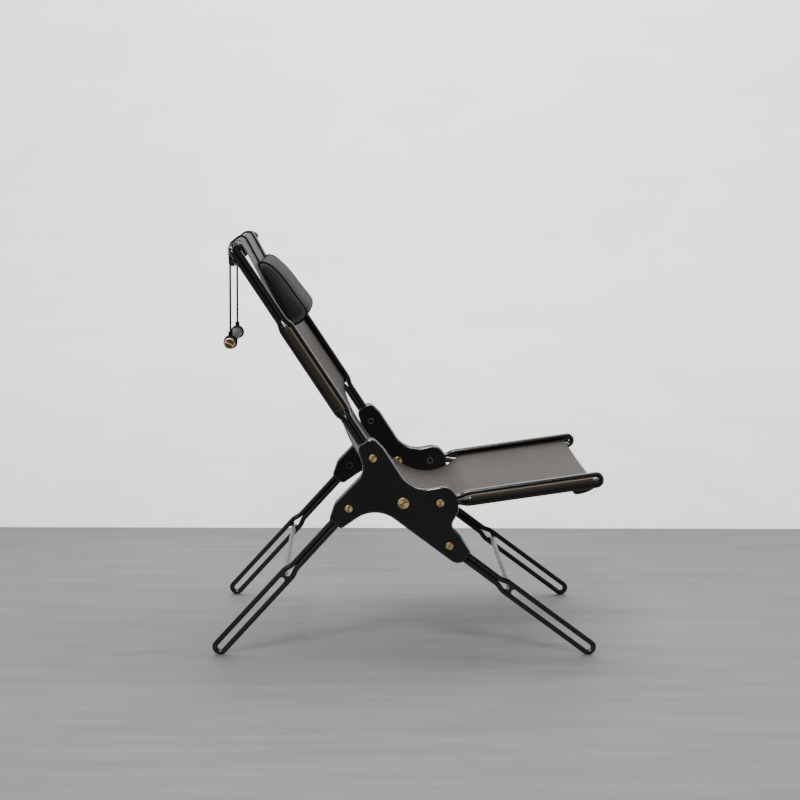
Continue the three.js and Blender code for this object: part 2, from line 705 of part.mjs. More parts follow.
// A sheet of even thickness about a grid of middle points; cells with a missing corner stay open.
function sheet(grid, thickness) {
  const at = (i, j) => grid[i]?.[j] ?? null;
  const spanOf = (a, p, b) => (b ?? p).clone().sub(a ?? p);
  const positions = [];
  const index = new Map();
  grid.forEach((row, i) =>
    row.forEach((p, j) => {
      if (!p) return;
      const along = spanOf(at(i - 1, j), p, at(i + 1, j));
      const across = spanOf(at(i, j - 1), p, at(i, j + 1));
      const normal = along.cross(across).normalize();
      index.set(p, positions.length / 3);
      positions.push(...p.clone().addScaledVector(normal, thickness / 2).toArray());
      positions.push(...p.clone().addScaledVector(normal, -thickness / 2).toArray());
    }),
  );
  const faces = [];
  const quad = (a, b, c, d) => faces.push(a, b, c, a, c, d);
  const filled = (i, j) => Boolean(at(i, j) && at(i + 1, j) && at(i, j + 1) && at(i + 1, j + 1));
  const wall = (p, q) => {
    const [a, b] = [index.get(p), index.get(q)];
    quad(a, a + 1, b + 1, b);
  };
  for (let i = 0; i < grid.length - 1; i += 1) {
    for (let j = 0; j < grid[i].length - 1; j += 1) {
      if (!filled(i, j)) continue;
      const corners = [at(i, j), at(i + 1, j), at(i + 1, j + 1), at(i, j + 1)];
      const [a, b, c, d] = corners.map((p) => index.get(p));
      quad(a, b, c, d);
      quad(a + 1, d + 1, c + 1, b + 1);
      if (!filled(i, j - 1)) wall(corners[0], corners[1]);
      if (!filled(i + 1, j)) wall(corners[1], corners[2]);
      if (!filled(i, j + 1)) wall(corners[2], corners[3]);
      if (!filled(i - 1, j)) wall(corners[3], corners[0]);
    }
  }
  const geometry = new THREE.BufferGeometry();
  geometry.setAttribute("position", new THREE.Float32BufferAttribute(positions, 3));
  geometry.setIndex(faces);
  geometry.computeVertexNormals();
  return geometry;
}

function sling() {
  const rows = hideRows();
  const hem = hemProfile();
  const grid = rows.map((row, i) => hideRow(row, rows[i - 1] ?? row, rows[i + 1] ?? row, hem));
  return sheet(grid, HIDE);
}

function dowelLength(hem) {
  return hem.dowelTo - hem.dowelFrom;
}

// A dowel about z. Its lower end may be drawn out to a tip.
function dowel(length, tip = null) {
  const end = length / 2;
  if (!tip) return bar(DOWEL / 2, -end, end, 12);
  const profile = [
    [0, -end],
    [tip.radius, -end],
    [DOWEL / 2, tip.length - end],
    [DOWEL / 2, end],
    [0, end],
  ];
  return turned(profile, 12);
}

// ---------- headrest cushion ----------

const upperRun = axisFrom(hideEntry, around(tubeCentre, TUBE_MID, tubeToEntry).sub(hideEntry));
const padLength = PAD.to - PAD.from;
const padMiddle = (PAD.to + PAD.from) / 2 - HIDE_ENTRY;
const padBase = -(HIDE / 2 + GAP);

// The end panel's outline, its back on the hide and its ends rounded over, is drawn through.
function padOutline() {
  const at = ([along, thick]) => new THREE.Vector2(padLength * (along - 1 / 2), PAD.thick * thick);
  const points = PAD_OUTLINE_SHARES.map(at);
  return new THREE.Shape(new THREE.SplineCurve(points).getPoints(2 * points.length));
}

// The cushion swells towards the middle of its front and is drawn in at its ends.
function cushion() {
  const geometry = new THREE.ExtrudeGeometry(padOutline(), {
    depth: PAD.width - 2 * PAD.edge,
    steps: PAD_STEPS,
    bevelThickness: PAD.edge,
    bevelSize: PAD.edge,
    bevelOffset: -PAD.edge,
    bevelSegments: 2,
  });
  geometry.translate(0, 0, PAD.edge - PAD.width / 2);
  const position = geometry.attributes.position;
  for (let i = 0; i < position.count; i += 1) {
    const [along, thick, z] = [position.getX(i), position.getY(i), position.getZ(i)];
    const across = 1 - (z / (PAD.width / 2)) ** 2;
    const out = thick / PAD.thick;
    const drawn = PAD.draw * (1 - (2 * out - 1) ** 2) * (1 - (2 * along) ** 2 / padLength ** 2);
    const share = 1 - (2 * drawn * (1 - across)) / PAD.width;
    const spot = upperRun.at(padMiddle + along, padBase - thick - PAD.crown * across * out);
    position.setXYZ(i, spot.x, spot.y, -z * share);
  }
  return geometry;
}

// ---------- cords and counterweight ----------

const CORD_OFF = HIDE / 2 + CORD_LIFT + CORD / 2; // cord's middle from the hide's middle
const dropX = bowCentre.x - BOW_MID - CORD_OFF;
const swingHeight = bowCentre.y - SWING_DROP;
const weightHeight = swingHeight - WEIGHT.hang;
const cordLeave = around(tubeCentre, TUBE_MID + CORD_OFF, tubeToEntry);

// From the cushion's upper edge straight up the hide to the top tube.
function cordFront(z) {
  const start = upperRun.at(padMiddle + padLength / 2 + GAP, -CORD_OFF);
  const line = new BentLine(lift(start, z), lift(upperRun.along, 0));
  line.run(start.distanceTo(cordLeave) - GAP);
  return swept(line, CORD, CORD_SIDES);
}

// Over the top tube and the bow, and down past the rear hem.
function cordOver(z) {
  const bowEnd = less(bowToTube, hemToBow);
  const tubeTurn = bowEnd - less(tubeToEntry, bowEnd);
  const over = around(tubeCentre, TUBE_MID + CORD_OFF, bowToTube);
  const down = around(bowCentre, BOW_MID + CORD_OFF, bowToTube);
  const bowTurn = Math.PI - THREE.MathUtils.euclideanModulo(bowEnd, 2 * Math.PI);
  const line = new BentLine(lift(cordLeave, z), lift(upperRun.along, 0));
  line.turn(tubeTurn, TUBE_MID + CORD_OFF, 6);
  line.run(over.distanceTo(down));
  line.turn(bowTurn, BOW_MID + CORD_OFF, 4);
  line.run(bowCentre.y - swingHeight - GAP / 2);
  return swept(line, CORD, CORD_SIDES);
}

const ringRadius = WEIGHT.radius + GAP + CORD / 2;

function cordDrop(z) {
  const bottom = weightHeight + ringRadius + CORD / 2 + GAP;
  const top = swingHeight - GAP / 2;
  const line = new BentLine(new THREE.Vector3(dropX, top, z), new THREE.Vector3(0, -1, 0));
  line.run(top - bottom);
  return swept(line, CORD, CORD_SIDES);
}

function cordRing() {
  return new THREE.TorusGeometry(ringRadius, CORD / 2, 6, 16);
}

const weightHalf = WEIGHT.length / 2 - WEIGHT_CAP.thick - GAP;

function weightBar() {
  return bar(WEIGHT.radius, -weightHalf, weightHalf, 20);
}

// ---------- scene ----------

const paint = {
  lacquer: { color: 0x0b0b0c, roughness: 0.35, metalness: 0 },
  rod: { color: 0x121214, roughness: 0.42, metalness: 0.3 },
  steel: { color: 0x6e6f70, roughness: 0.4, metalness: 0.9 },
  brass: { color: 0xb08a4a, roughness: 0.3, metalness: 1 },
  black: { color: 0x0d0d0e, roughness: 0.5, metalness: 0.2 },
  hide: { color: 0x6b645e, roughness: 0.62, metalness: 0 },
  pad: { color: 0x17161a, roughness: 0.5, metalness: 0 },
  cord: { color: 0x0c0b0b, roughness: 0.8, metalness: 0 },
};

function piece(name, geometry, look, at = new THREE.Vector3()) {
  const mesh = new THREE.Mesh(geometry, new THREE.MeshStandardMaterial(paint[look]));
  mesh.name = name;
  mesh.position.copy(at);
  return mesh;
}

const chair = new THREE.Group();
chair.rotation.x = Math.PI / 2;

for (const [side, name] of [
  [1, "near"],
  [-1, "far"],
]) {
  const z = side * HALF_TRACK;
  const plane = new THREE.Vector3(0, 0, z);
  chair.add(piece(`${name}_outer_cheek`, cheek(side, true), "lacquer", plane));
  chair.add(piece(`${name}_inner_cheek`, cheek(-side, false), "lacquer", plane));
  chair.add(piece(`hook_rod_${name}`, hookRod(z), "rod"));
  chair.add(piece(`seat_loop_${name}`, seatLoop(z), "rod"));
  chair.add(piece(`rear_leg_loop_${name}`, legLoop(rearAxis, REAR_PART, REAR_FOOT_X, z), "rod"));
  chair.add(piece(`front_leg_loop_${name}`, legLoop(frontAxis, FRONT_PART, FRONT_FOOT_X, z), "rod"));

  const face = new THREE.Group();
  face.position.set(0, 0, z + (side * BODY_THICKNESS) / 2);
  const inside = new THREE.Group();
  inside.position.set(0, 0, z - (side * BODY_THICKNESS) / 2);
  const turnOut = side > 0 ? 0 : Math.PI;
  const shankEnd = BODY_THICKNESS - SCREW.sunk - OVERRUN;
  for (const [where, at] of Object.entries(SMALL_SCREWS)) {
    const seat = lift(at, side * (GAP - SCREW.sunk));
    const head = piece(`${name}_screw_${where}`, screw(SCREW, shankEnd, SMALL_SIDES), "brass", seat);
    head.rotation.set(0, turnOut, SLOT_TURNS[where]);
    face.add(head);
    const ring = piece(`${name}_insert_${where}`, insert(), "black", lift(at, side * (INSERT.length - INSERT.proud)));
    ring.rotation.y = Math.PI - turnOut;
    inside.add(ring);
  }
  const centreSeat = lift(CENTRE_SCREW, side * (GAP - CENTRE.sunk));
  const centreShank = BODY_THICKNESS - CENTRE.sunk - NUT.sunk;
  const centre = piece(`${name}_screw_centre`, screw(CENTRE, centreShank, LARGE_SIDES), "brass", centreSeat);
  centre.rotation.set(0, turnOut, SLOT_TURNS.centre);
  face.add(centre);
  const nutAt = lift(CENTRE_SCREW, side * (NUT.sunk - GAP));
  const nut = piece(`${name}_nut`, slottedDisc(NUT.radius, NUT.height, NUT.chamfer, LARGE_SIDES), "brass", nutAt);
  nut.rotation.set(0, Math.PI - turnOut, SLOT_TURNS.nut);
  inside.add(nut);
  chair.add(face, inside);

  for (const [end, axis, partAt] of [
    ["rear", rearAxis, REAR_PART],
    ["front", frontAxis, FRONT_PART],
  ]) {
    const eye = axis.at(partAt + PART_LENGTH + SPOOL.past, 0);
    chair.add(piece(`${end}_spool_${name}`, spool(axis), "black", lift(eye, z)));
  }

  const out = z + side * HEM_OUT;
  for (const [where, hem, axis, tip] of [
    ["back", BACK_HEM, backAxis, null],
    ["seat", SEAT_HEM, seatAxis, SEAT_DOWEL_TIP],
  ]) {
    const middle = axis.at((hem.dowelFrom + hem.dowelTo) / 2, 0);
    const rest = piece(`${where}_dowel_${name}`, dowel(dowelLength(hem), tip), "steel", lift(middle, out));
    rest.quaternion.setFromUnitVectors(Z_AXIS, lift(axis.along, 0));
    chair.add(rest);
  }

  const cordZ = (side * CORD_SPACING) / 2;
  chair.add(piece(`cord_front_${name}`, cordFront(cordZ), "cord"));
  chair.add(piece(`cord_over_${name}`, cordOver(cordZ), "cord"));
  chair.add(piece(`cord_drop_${name}`, cordDrop(cordZ), "cord"));
  const hang = new THREE.Vector3(dropX, weightHeight, cordZ);
  chair.add(piece(`cord_ring_${name}`, cordRing(), "cord", hang));
  const capAt = new THREE.Vector3(dropX, weightHeight, side * (weightHalf + GAP));
  const { radius, thick, chamfer } = WEIGHT_CAP;
  const cap = piece(`weight_cap_${name}`, slottedDisc(radius, thick, chamfer, 20), "brass", capAt);
  cap.rotation.set(0, turnOut, SLOT_TURNS.cap);
  chair.add(cap);
}

chair.add(piece("back_bow", backBow(), "rod"));
chair.add(piece("top_tube", topTube(), "rod", lift(tubeCentre, 0)));
for (const [end, axis, partAt] of [
  ["rear", rearAxis, REAR_PART],
  ["front", frontAxis, FRONT_PART],
]) {
  const eye = axis.at(partAt + PART_LENGTH + SPOOL.past, 0);
  chair.add(piece(`${end}_crossbar`, crossbar(), "steel", lift(eye, 0)));
}
chair.add(piece("seat_spreader", spreader(), "black"));
chair.add(piece("sling", sling(), "hide"));
chair.add(piece("top_dowel", dowel(TRACK + ROD), "steel", lift(topDowel, 0)));
chair.add(piece("headrest", cushion(), "pad"));
chair.add(piece("weight_bar", weightBar(), "hide", new THREE.Vector3(dropX, weightHeight, 0)));

// The origin lies on the floor under the middle of the chair's length.
const root = new THREE.Group();
root.position.x = -(SEAT_TIP.x + REAR_FOOT_X) / 2;
root.add(chair);
export default root;
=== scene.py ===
"""Looks of the sling lounge chair, built in side view: x to the seat's front, y up, z to the near side."""

import math

import bmesh
import bpy
import numpy as np
from mathutils import Matrix, Vector

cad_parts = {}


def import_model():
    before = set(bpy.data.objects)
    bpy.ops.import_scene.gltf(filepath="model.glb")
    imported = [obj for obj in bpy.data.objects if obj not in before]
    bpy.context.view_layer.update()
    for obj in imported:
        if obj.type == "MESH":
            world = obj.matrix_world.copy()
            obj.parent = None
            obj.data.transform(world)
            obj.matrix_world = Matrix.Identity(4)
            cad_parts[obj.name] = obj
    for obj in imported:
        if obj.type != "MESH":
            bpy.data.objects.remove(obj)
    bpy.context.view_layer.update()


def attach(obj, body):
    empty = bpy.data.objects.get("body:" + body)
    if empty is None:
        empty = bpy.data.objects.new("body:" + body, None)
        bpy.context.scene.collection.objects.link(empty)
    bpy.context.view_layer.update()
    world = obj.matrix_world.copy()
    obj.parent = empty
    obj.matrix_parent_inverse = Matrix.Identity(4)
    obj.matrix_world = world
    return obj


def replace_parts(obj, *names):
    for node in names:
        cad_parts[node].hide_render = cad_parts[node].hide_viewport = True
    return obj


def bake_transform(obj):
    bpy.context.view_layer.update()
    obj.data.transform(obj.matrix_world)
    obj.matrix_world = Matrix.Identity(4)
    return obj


# ---------- camera ----------


def added(name, data):
    """A new object in the scene."""
    made = bpy.data.objects.new(name, data)
    bpy.context.scene.collection.objects.link(made)
    return made


def rotation(degrees, axis):
    return Matrix.Rotation(math.radians(degrees), 3, axis)


CAMERA_PAN, CAMERA_DOWN, CAMERA_ROLL = -1.35, 7.52, 0.4
camera_data = bpy.data.cameras.new("view")
camera_data.lens = 83.25
camera_data.sensor_width = 36
camera = added("view", camera_data)
camera.location = (-0.11105, -4.208, 1.078)
aim = rotation(CAMERA_PAN, "Z") @ rotation(90 - CAMERA_DOWN, "X") @ rotation(CAMERA_ROLL, "Z")
camera.rotation_euler = aim.to_euler()
bpy.context.scene.camera = camera

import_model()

# ---------- sizes shared with the solids, in millimetres ----------

MM = 0.001
SHIFT = -8.05
GAP = 0.3
ROD = 12
HALF_TRACK = 280
SLOT = 11.4
PART_ANGLE = math.radians(22)
ROD_START = 10
CENTRE = np.array([-1.85, 337.05])
BACK = CENTRE + (-66.25, 97.55)
REAR = CENTRE + (-117.55, -12.15)
SEAT = CENTRE + (79.4, 0.55)
FRONT = CENTRE + (100.05, -93.35)
REAR_PART, FRONT_PART, SEAT_PART = 170, 131, 36
SEAT_TIP = SEAT + (336.15, 49.35)
BACK_PART, BACK_CLOSE = 98, 328
HOOK_AT, HOOK_RADIUS, HOOK_LEG = 533, 7, 18
BOW_AT, BOW_CORNER = 538, 9
TUBE = 17
HIDE = 2.5
DOWEL = 13
CORD = 4.5
SIDES = ((1, "near"), (-1, "far"))

ROD_R = ROD / 2
INNER_HALF = HALF_TRACK - ROD_R - GAP
NECK = (ROD + GAP) / 2
OPEN = (ROD + SLOT) / 2
PART_RADIUS = (OPEN - NECK) / (2 * (1 - math.cos(PART_ANGLE)))
PART_LENGTH = 2 * PART_RADIUS * math.sin(PART_ANGLE)
FOOT_CHORD = math.radians(16)
FOOT_REACH = OPEN + ROD_R * math.cos(math.pi / 10)
FOOT_HEIGHT = FOOT_REACH * math.cos(FOOT_CHORD / 2)
REAR_FOOT = np.array([-397.6, FOOT_HEIGHT])
FRONT_FOOT = np.array([404.4, FOOT_HEIGHT])


def world(p):
    """Side view millimetres to metres in the frame of the solids."""
    p = np.asarray(p, float)
    return np.stack([(p[..., 0] + SHIFT) * MM, -p[..., 2] * MM, p[..., 1] * MM], -1)


def lift(p, z):
    """A side view point at a depth."""
    return np.array([p[0], p[1], z], float)


class Axis:
    """A line from a screw along a heading, with places beside it."""

    def __init__(self, origin, heading):
        self.origin = origin
        self.along = heading / np.linalg.norm(heading)
        self.left = np.array([-self.along[1], self.along[0]])

    def at(self, distance, aside):
        return self.origin + self.along * distance + self.left * aside


rear_axis = Axis(REAR, REAR_FOOT - REAR)
front_axis = Axis(FRONT, FRONT_FOOT - FRONT)
seat_axis = Axis(SEAT, SEAT_TIP - SEAT)
LEGS = (("rear", rear_axis, REAR_PART, REAR_FOOT), ("front", front_axis, FRONT_PART, FRONT_FOOT))
RECLINE = math.radians(33.7)
back_axis = Axis(BACK, np.array([-math.sin(RECLINE), math.cos(RECLINE)]))
tube_centre = back_axis.at(537, -9.5)
bow_centre = back_axis.at(BOW_AT, NECK)
SWING_Y = bow_centre[1] - 35.4
WEIGHT_Y = SWING_Y - 177
X, Y, Z = np.eye(3)

# ---------- mesh helpers ----------


def mesh_object(name, verts, faces, material, body="frame", sharp=35, at=None):
    """A smooth shaded piece from side view millimetres, with its origin at the place given."""
    points = world(verts)
    origin = world(at) if at is not None else np.zeros(3)
    mesh = bpy.data.meshes.new(name)
    mesh.from_pydata([tuple(p) for p in points - origin], [], [list(f) for f in faces])
    mesh.validate()
    mesh.update()
    piece = added(name, mesh)
    piece.location = Vector(origin)
    smooth(piece, sharp)
    if material:
        mesh.materials.append(material)
    if body:
        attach(piece, body)
    return piece


def smooth(piece, angle):
    mesh = piece.data
    mesh.polygons.foreach_set("use_smooth", [True] * len(mesh.polygons))
    mesh.set_sharp_from_angle(angle=math.radians(angle))


def cut_with(piece, cutters):
    """Cuts the closed cutter objects out of a piece and leaves a plain mesh."""
    for cutter in cutters:
        change = piece.modifiers.new("cut", "BOOLEAN")
        change.operation = "DIFFERENCE"
        change.solver = "EXACT"
        change.object = cutter
    bpy.context.view_layer.update()
    depsgraph = bpy.context.evaluated_depsgraph_get()
    mesh = bpy.data.meshes.new_from_object(piece.evaluated_get(depsgraph))
    piece.modifiers.clear()
    old = piece.data
    piece.data = mesh
    bpy.data.meshes.remove(old)
    for cutter in cutters:
        bpy.data.objects.remove(cutter)


def face_out(piece, weld=0.0):
    """Turns the faces of a closed piece outwards."""
    bm = bmesh.new()
    bm.from_mesh(piece.data)
    if weld:
        bmesh.ops.remove_doubles(bm, verts=bm.verts, dist=weld)
    bmesh.ops.recalc_face_normals(bm, faces=bm.faces)
    bm.to_mesh(piece.data)
    bm.free()


def point_value(piece, name, values, domain="POINT"):
    layer = piece.data.attributes.new(name, "FLOAT", domain)
    layer.data.foreach_set("value", np.asarray(values, np.float32))


def even_normals(piece):
    change = piece.modifiers.new("normals", "WEIGHTED_NORMAL")
    change.keep_sharp = True
    change.weight = 80


def rings_mesh(rings, closed=False):
    """Faces between rings of equally many points, with flat ends or joined round."""
    n = len(rings[0])
    verts = np.concatenate([np.asarray(r, float) for r in rings])
    faces = []
    count = len(rings)
    for i in range(count if closed else count - 1):
        a, b = i * n, ((i + 1) % count) * n
        for j in range(n):
            k = (j + 1) % n
            faces.append((a + j, a + k, b + k, b + j))
    if not closed:
        faces.append(tuple(range(n))[::-1])
        faces.append(tuple(range((count - 1) * n, count * n)))
    return verts, faces


class Line:
    """A bent centre line of stations, each a point and a heading."""

    def __init__(self, start, heading):
        heading = np.asarray(heading, float)
        self.points = [np.asarray(start, float)]
        self.headings = [heading / np.linalg.norm(heading)]

    def run(self, length, steps=1):
        start, heading = self.points[-1], self.headings[-1]
        for i in range(steps):
            self.points.append(start + heading * length * (i + 1) / steps)
            self.headings.append(heading)
        return self

    def turn(self, angle, radius, steps, axis=(0, 0, 1)):
        axis = np.asarray(axis, float)
        start, heading = self.points[-1], self.headings[-1]
        centre = start + np.cross(axis, heading) * math.copysign(radius, angle)
        for i in range(1, steps + 1):
            a = angle * i / steps
            self.points.append(centre + spin(start - centre, axis, a))
            self.headings.append(spin(heading, axis, a))
        return self

    def shift(self, side):
        return self.turn(side * PART_ANGLE, PART_RADIUS, 6).turn(-side * PART_ANGLE, PART_RADIUS, 6)


def spin(v, axis, angle):
    return (
        v * math.cos(angle)
        + np.cross(axis, v) * math.sin(angle)
        + axis * (axis @ v) * (1 - math.cos(angle))
    )


def turns(sides):
    """The angles of evenly spaced points round a circle."""
    return np.arange(sides) * 2 * math.pi / sides


def circle(centre, u, v, radius, sides):
    return [centre + (u * math.cos(t) + v * math.sin(t)) * radius for t in turns(sides)]


def angle_of(v):
    return math.atan2(v[1], v[0])


def polar(centre, radius, angle):
    return centre + radius * np.array([math.cos(angle), math.sin(angle)])


def arc(centre, radius, start, sweep, steps):
    return [polar(centre, radius, start + sweep * k / steps) for k in range(steps + 1)]


def tube(line, radius, sides=24, chamfer=0.5):
    """Rings of a round bar along a line. Its ends are square, with a small chamfer."""
    side = Y if abs(line.headings[0] @ Z) > 0.9 else Z
    last = len(line.points) - 1
    rings = []
    for i, (p, h) in enumerate(zip(line.points, line.headings)):
        side = side - h * (side @ h)
        side /= np.linalg.norm(side)
        stops = [(p, radius)]
        if i == 0:
            stops = [(p, radius - chamfer), (p + h * chamfer, radius)]
        elif i == last:
            stops = [(p - h * chamfer, radius), (p, radius - chamfer)]
        rings += [circle(at, side, np.cross(h, side), r, sides) for at, r in stops]
    return rings_mesh(rings)


def lathe(profile, sides=48, closed=False):
    """A turned piece about z from (radius, height) points, with flat ends or closed to a ring."""
    rings = [[(r * math.cos(t), r * math.sin(t), h) for t in turns(sides)] for r, h in profile]
    return rings_mesh(rings, closed)


def joined(parts):
    """Several meshes as one."""
    verts, faces = [], []
    for more_verts, more_faces in parts:
        faces += [tuple(i + len(verts) for i in face) for face in more_faces]
        verts += list(more_verts)
    return verts, faces


def placed(verts, at, heading=(0, 0, 1), turn=0.0):
    """Turns a piece made about z to a heading, spun about it, and moves it to its place."""
    h = np.asarray(heading, float)
    h = h / np.linalg.norm(h)
    ref = np.array([1.0, 0, 0]) if abs(h[0]) < 0.9 else np.array([0, 1.0, 0])
    x = ref - h * (ref @ h)
    x /= np.linalg.norm(x)
    y = np.cross(h, x)
    c, s = math.cos(turn), math.sin(turn)
    basis = np.array([x * c + y * s, y * c - x * s, h])
    return np.asarray(verts, float) @ basis + np.asarray(at, float)


# ---------- materials ----------


class Look:
    """A procedural material: its nodes hang on one shader."""

    def __init__(self, name, color, roughness, metallic=0.0, **sockets):
        self.material = bpy.data.materials.new(name)
        self.material.use_nodes = True
        self.nodes = self.material.node_tree.nodes
        self.links = self.material.node_tree.links
        self.shader = self.nodes["Principled BSDF"]
        self.shade(Base_Color=color, Roughness=roughness, Metallic=metallic, **sockets)
        self.coords = self.nodes.new("ShaderNodeTexCoord")
        self.height = None

    def feed(self, socket, value):
        """Links an output to a socket, or sets the socket's own number or colour."""
        if isinstance(value, bpy.types.NodeSocket):
            self.links.new(value, socket)
        else:
            socket.default_value = (*value, 1) if socket.type == "RGBA" else value

    def shade(self, **sockets):
        """Feeds the shader. An underscore stands for the space in a socket's name."""
        for key, value in sockets.items():
            self.feed(self.shader.inputs[key.replace("_", " ")], value)

    def node(self, kind, feeds=None, **settings):
        made = self.nodes.new("ShaderNode" + kind)
        for key, value in settings.items():
            setattr(made, key, value)
        for key, value in (feeds or {}).items():
            self.feed(made.inputs[key], value)
        return made

    def place(self, scale=(1, 1, 1)):
        feeds = {"Scale": scale, "Vector": self.coords.outputs["Object"]}
        return self.node("Mapping", feeds).outputs["Vector"]

    def noise(self, scale, detail=4, rough=0.5, stretch=(1, 1, 1)):
        feeds = {"Scale": scale, "Detail": detail, "Roughness": rough, "Vector": self.place(stretch)}
        return self.node("TexNoise", feeds).outputs["Fac"]

    def cells(self, scale, feature="DISTANCE_TO_EDGE", stretch=(1, 1, 1)):
        feeds = {"Scale": scale, "Vector": self.place(stretch)}
        return self.node("TexVoronoi", feeds, feature=feature).outputs["Distance"]

    def ramp(self, value, *stops):
        made = self.node("ValToRGB", {"Fac": value})
        elements = made.color_ramp.elements
        while len(elements) < len(stops):
            elements.new(0.5)
        for element, (place, color) in zip(elements, stops):
            element.position = place
            element.color = (*color, 1) if hasattr(color, "__len__") else (color, color, color, 1)
        return made.outputs["Color"]

    def span(self, value, low, high, to_low, to_high):
        feeds = {"Value": value, "From Min": low, "From Max": high, "To Min": to_low, "To Max": to_high}
        return self.node("MapRange", feeds).outputs["Result"]

    def vary(self, value, low, high):
        """Spreads the middle of a noise over a range."""
        return self.span(value, 0.3, 0.7, low, high)

    def mix(self, factor, a, b):
        return self.node("Mix", {0: factor, 6: a, 7: b}, data_type="RGBA").outputs[2]

    def math(self, operation, a, b=0.0):
        return self.node("Math", {0: a, 1: b}, operation=operation).outputs[0]

    def attribute(self, name):
        return self.node("Attribute", attribute_name=name).outputs["Fac"]

    def bump(self, value, distance, strength):
        """Lays a bump over those before it."""
        feeds = {"Distance": distance, "Strength": strength, "Height": value}
        if self.height:
            feeds["Normal"] = self.height
        self.height = self.node("Bump", feeds).outputs["Normal"]
        self.shade(Normal=self.height)


def lacquer_look():
    """Satin lacquer. The edge attribute is 1 on side walls, a half on flat faces and 0 on rounded edges."""
    look = Look("lacquer", (0.0045, 0.0045, 0.005), 0.2, Specular_IOR_Level=0.4)
    cloud, cut = look.noise(9, 3), look.attribute("edge")
    satin = look.vary(look.noise(38, 5, 0.6), 0.11, 0.16)
    look.shade(
        Base_Color=look.ramp(cloud, (0.3, (0.0052, 0.0052, 0.0056)), (0.75, (0.0072, 0.0072, 0.0076))),
        Roughness=look.math("ADD", satin, look.math("MULTIPLY", cut, 0.35)),
        Specular_IOR_Level=look.ramp(cut, (0.0, 1.0), (0.5, 0.3), (1.0, 0.06)),
    )
    look.bump(look.noise(420, 3), 0.00002, 0.15)
    return look.material


def rod_look(name, low, high, shine=0.5, gloss=0.2):
    look = Look(name, high, gloss, Specular_IOR_Level=shine)
    look.shade(
        Base_Color=look.ramp(look.noise(14, 3), (0.3, low), (0.75, high)),
        Roughness=look.vary(look.noise(300, 3), gloss, gloss + 0.04),
    )
    look.bump(look.noise(900, 2), 0.00002, 0.2)
    return look.material


def steel_look(name, color, roughness):
    look = Look(name, color, roughness, 1.0)
    dark = tuple(c * 0.72 for c in color)
    look.shade(
        Base_Color=look.ramp(look.noise(18, 5, 0.65), (0.3, dark), (0.7, color)),
        Roughness=look.vary(look.noise(90, 4), roughness - 0.07, roughness + 0.1),
    )
    look.bump(look.noise(260, 3, stretch=(1, 0.04, 1)), 0.00003, 0.4)
    return look.material


def brass_look(name, low, high, shade, cut):
    """Turned brass, with a fan of painted highlight and painted shade about its axis. The edge attribute
    marks a screw's slot, painted dark as shade, and the rim and slot of a weight disc.
    """
    look = Look(name, high, 0.38, 0.85)
    spot = {"Rotation": (math.radians(90), 0, math.radians(20)), "Vector": look.coords.outputs["Object"]}
    spot = look.node("Mapping", spot).outputs["Vector"]
    around = look.node("TexGradient", {"Vector": spot}, gradient_type="RADIAL").outputs["Fac"]
    # fan: lighter and darker sectors about the axis, painted highlight and painted shade
    fan = look.math("SINE", look.math("MULTIPLY", around, 4 * math.pi))
    tint = look.ramp(look.noise(110, 4), (0.3, low), (0.7, high))
    tint = look.mix(look.span(fan, -1, 1, 0.8, 0.0), tint, shade)
    look.shade(
        Base_Color=look.mix(look.attribute("edge"), tint, cut),
        Roughness=look.vary(look.noise(300, 4), 0.3, 0.46),
    )
    marks = {"Scale": 900, "Distortion": 0.6, "Vector": look.place()}
    marks = look.node("TexWave", marks, wave_type="RINGS", rings_direction="Y").outputs["Fac"]
    look.bump(marks, 0.00003, 0.5)
    return look.material


def leather_look(name, light, dark, edge, roughness, grain, shine=0.1):
    """Grained leather. The hem attribute darkens it with painted shade, and the edge attribute colours cut
    edges and puts a painted highlight on the cushion's seam lips.
    """
    look = Look(name, light, roughness, Specular_IOR_Level=shine)
    toned = lambda share: tuple(c * share for c in light)
    speck = look.noise(grain * 0.9, 4, 0.7)
    base = look.ramp(look.noise(7, 5, 0.6), (0.3, toned(0.84)), (0.7, toned(1.14)))
    base = look.mix(look.span(speck, 0.35, 0.7, 0.16, 0.0), base, toned(0.45))
    base = look.mix(look.attribute("hem"), base, dark)
    look.shade(
        Base_Color=look.mix(look.attribute("edge"), base, edge),
        Roughness=look.vary(look.noise(grain * 0.5, 4), roughness - 0.06, roughness + 0.08),
    )
    look.bump(look.span(look.cells(grain), 0.0, 0.3, 0.0, 1.0), 0.00022, 0.35)
    look.bump(speck, 0.00012, 0.45)
    look.bump(look.noise(26, 3), 0.0006, 0.12)
    return look.material


def cord_look():
    look = Look("cord", (0.005, 0.005, 0.005), 0.85, Specular_IOR_Level=0.15)
    strands = look.cells(620, "F1", (1, 1, 0.5))
    look.shade(Base_Color=look.ramp(strands, (0.0, (0.008, 0.0078, 0.0075)), (0.8, 0.003)))
    look.bump(strands, 0.0004, 0.7)
    return look.material


def grey(value):
    return (value, value, value)


LACQUER = lacquer_look()
ROD_BLACK = rod_look("rod_black", (0.006, 0.006, 0.0064), (0.009, 0.009, 0.0095), 0.6, 0.16)
STEEL = steel_look("crossbar_steel", (0.07, 0.07, 0.072), 0.42)
DOWEL_STEEL = steel_look("dowel_steel", (0.09, 0.087, 0.083), 0.27)
RING_STEEL = rod_look("insert_black", (0.035, 0.035, 0.037), (0.05, 0.05, 0.053))
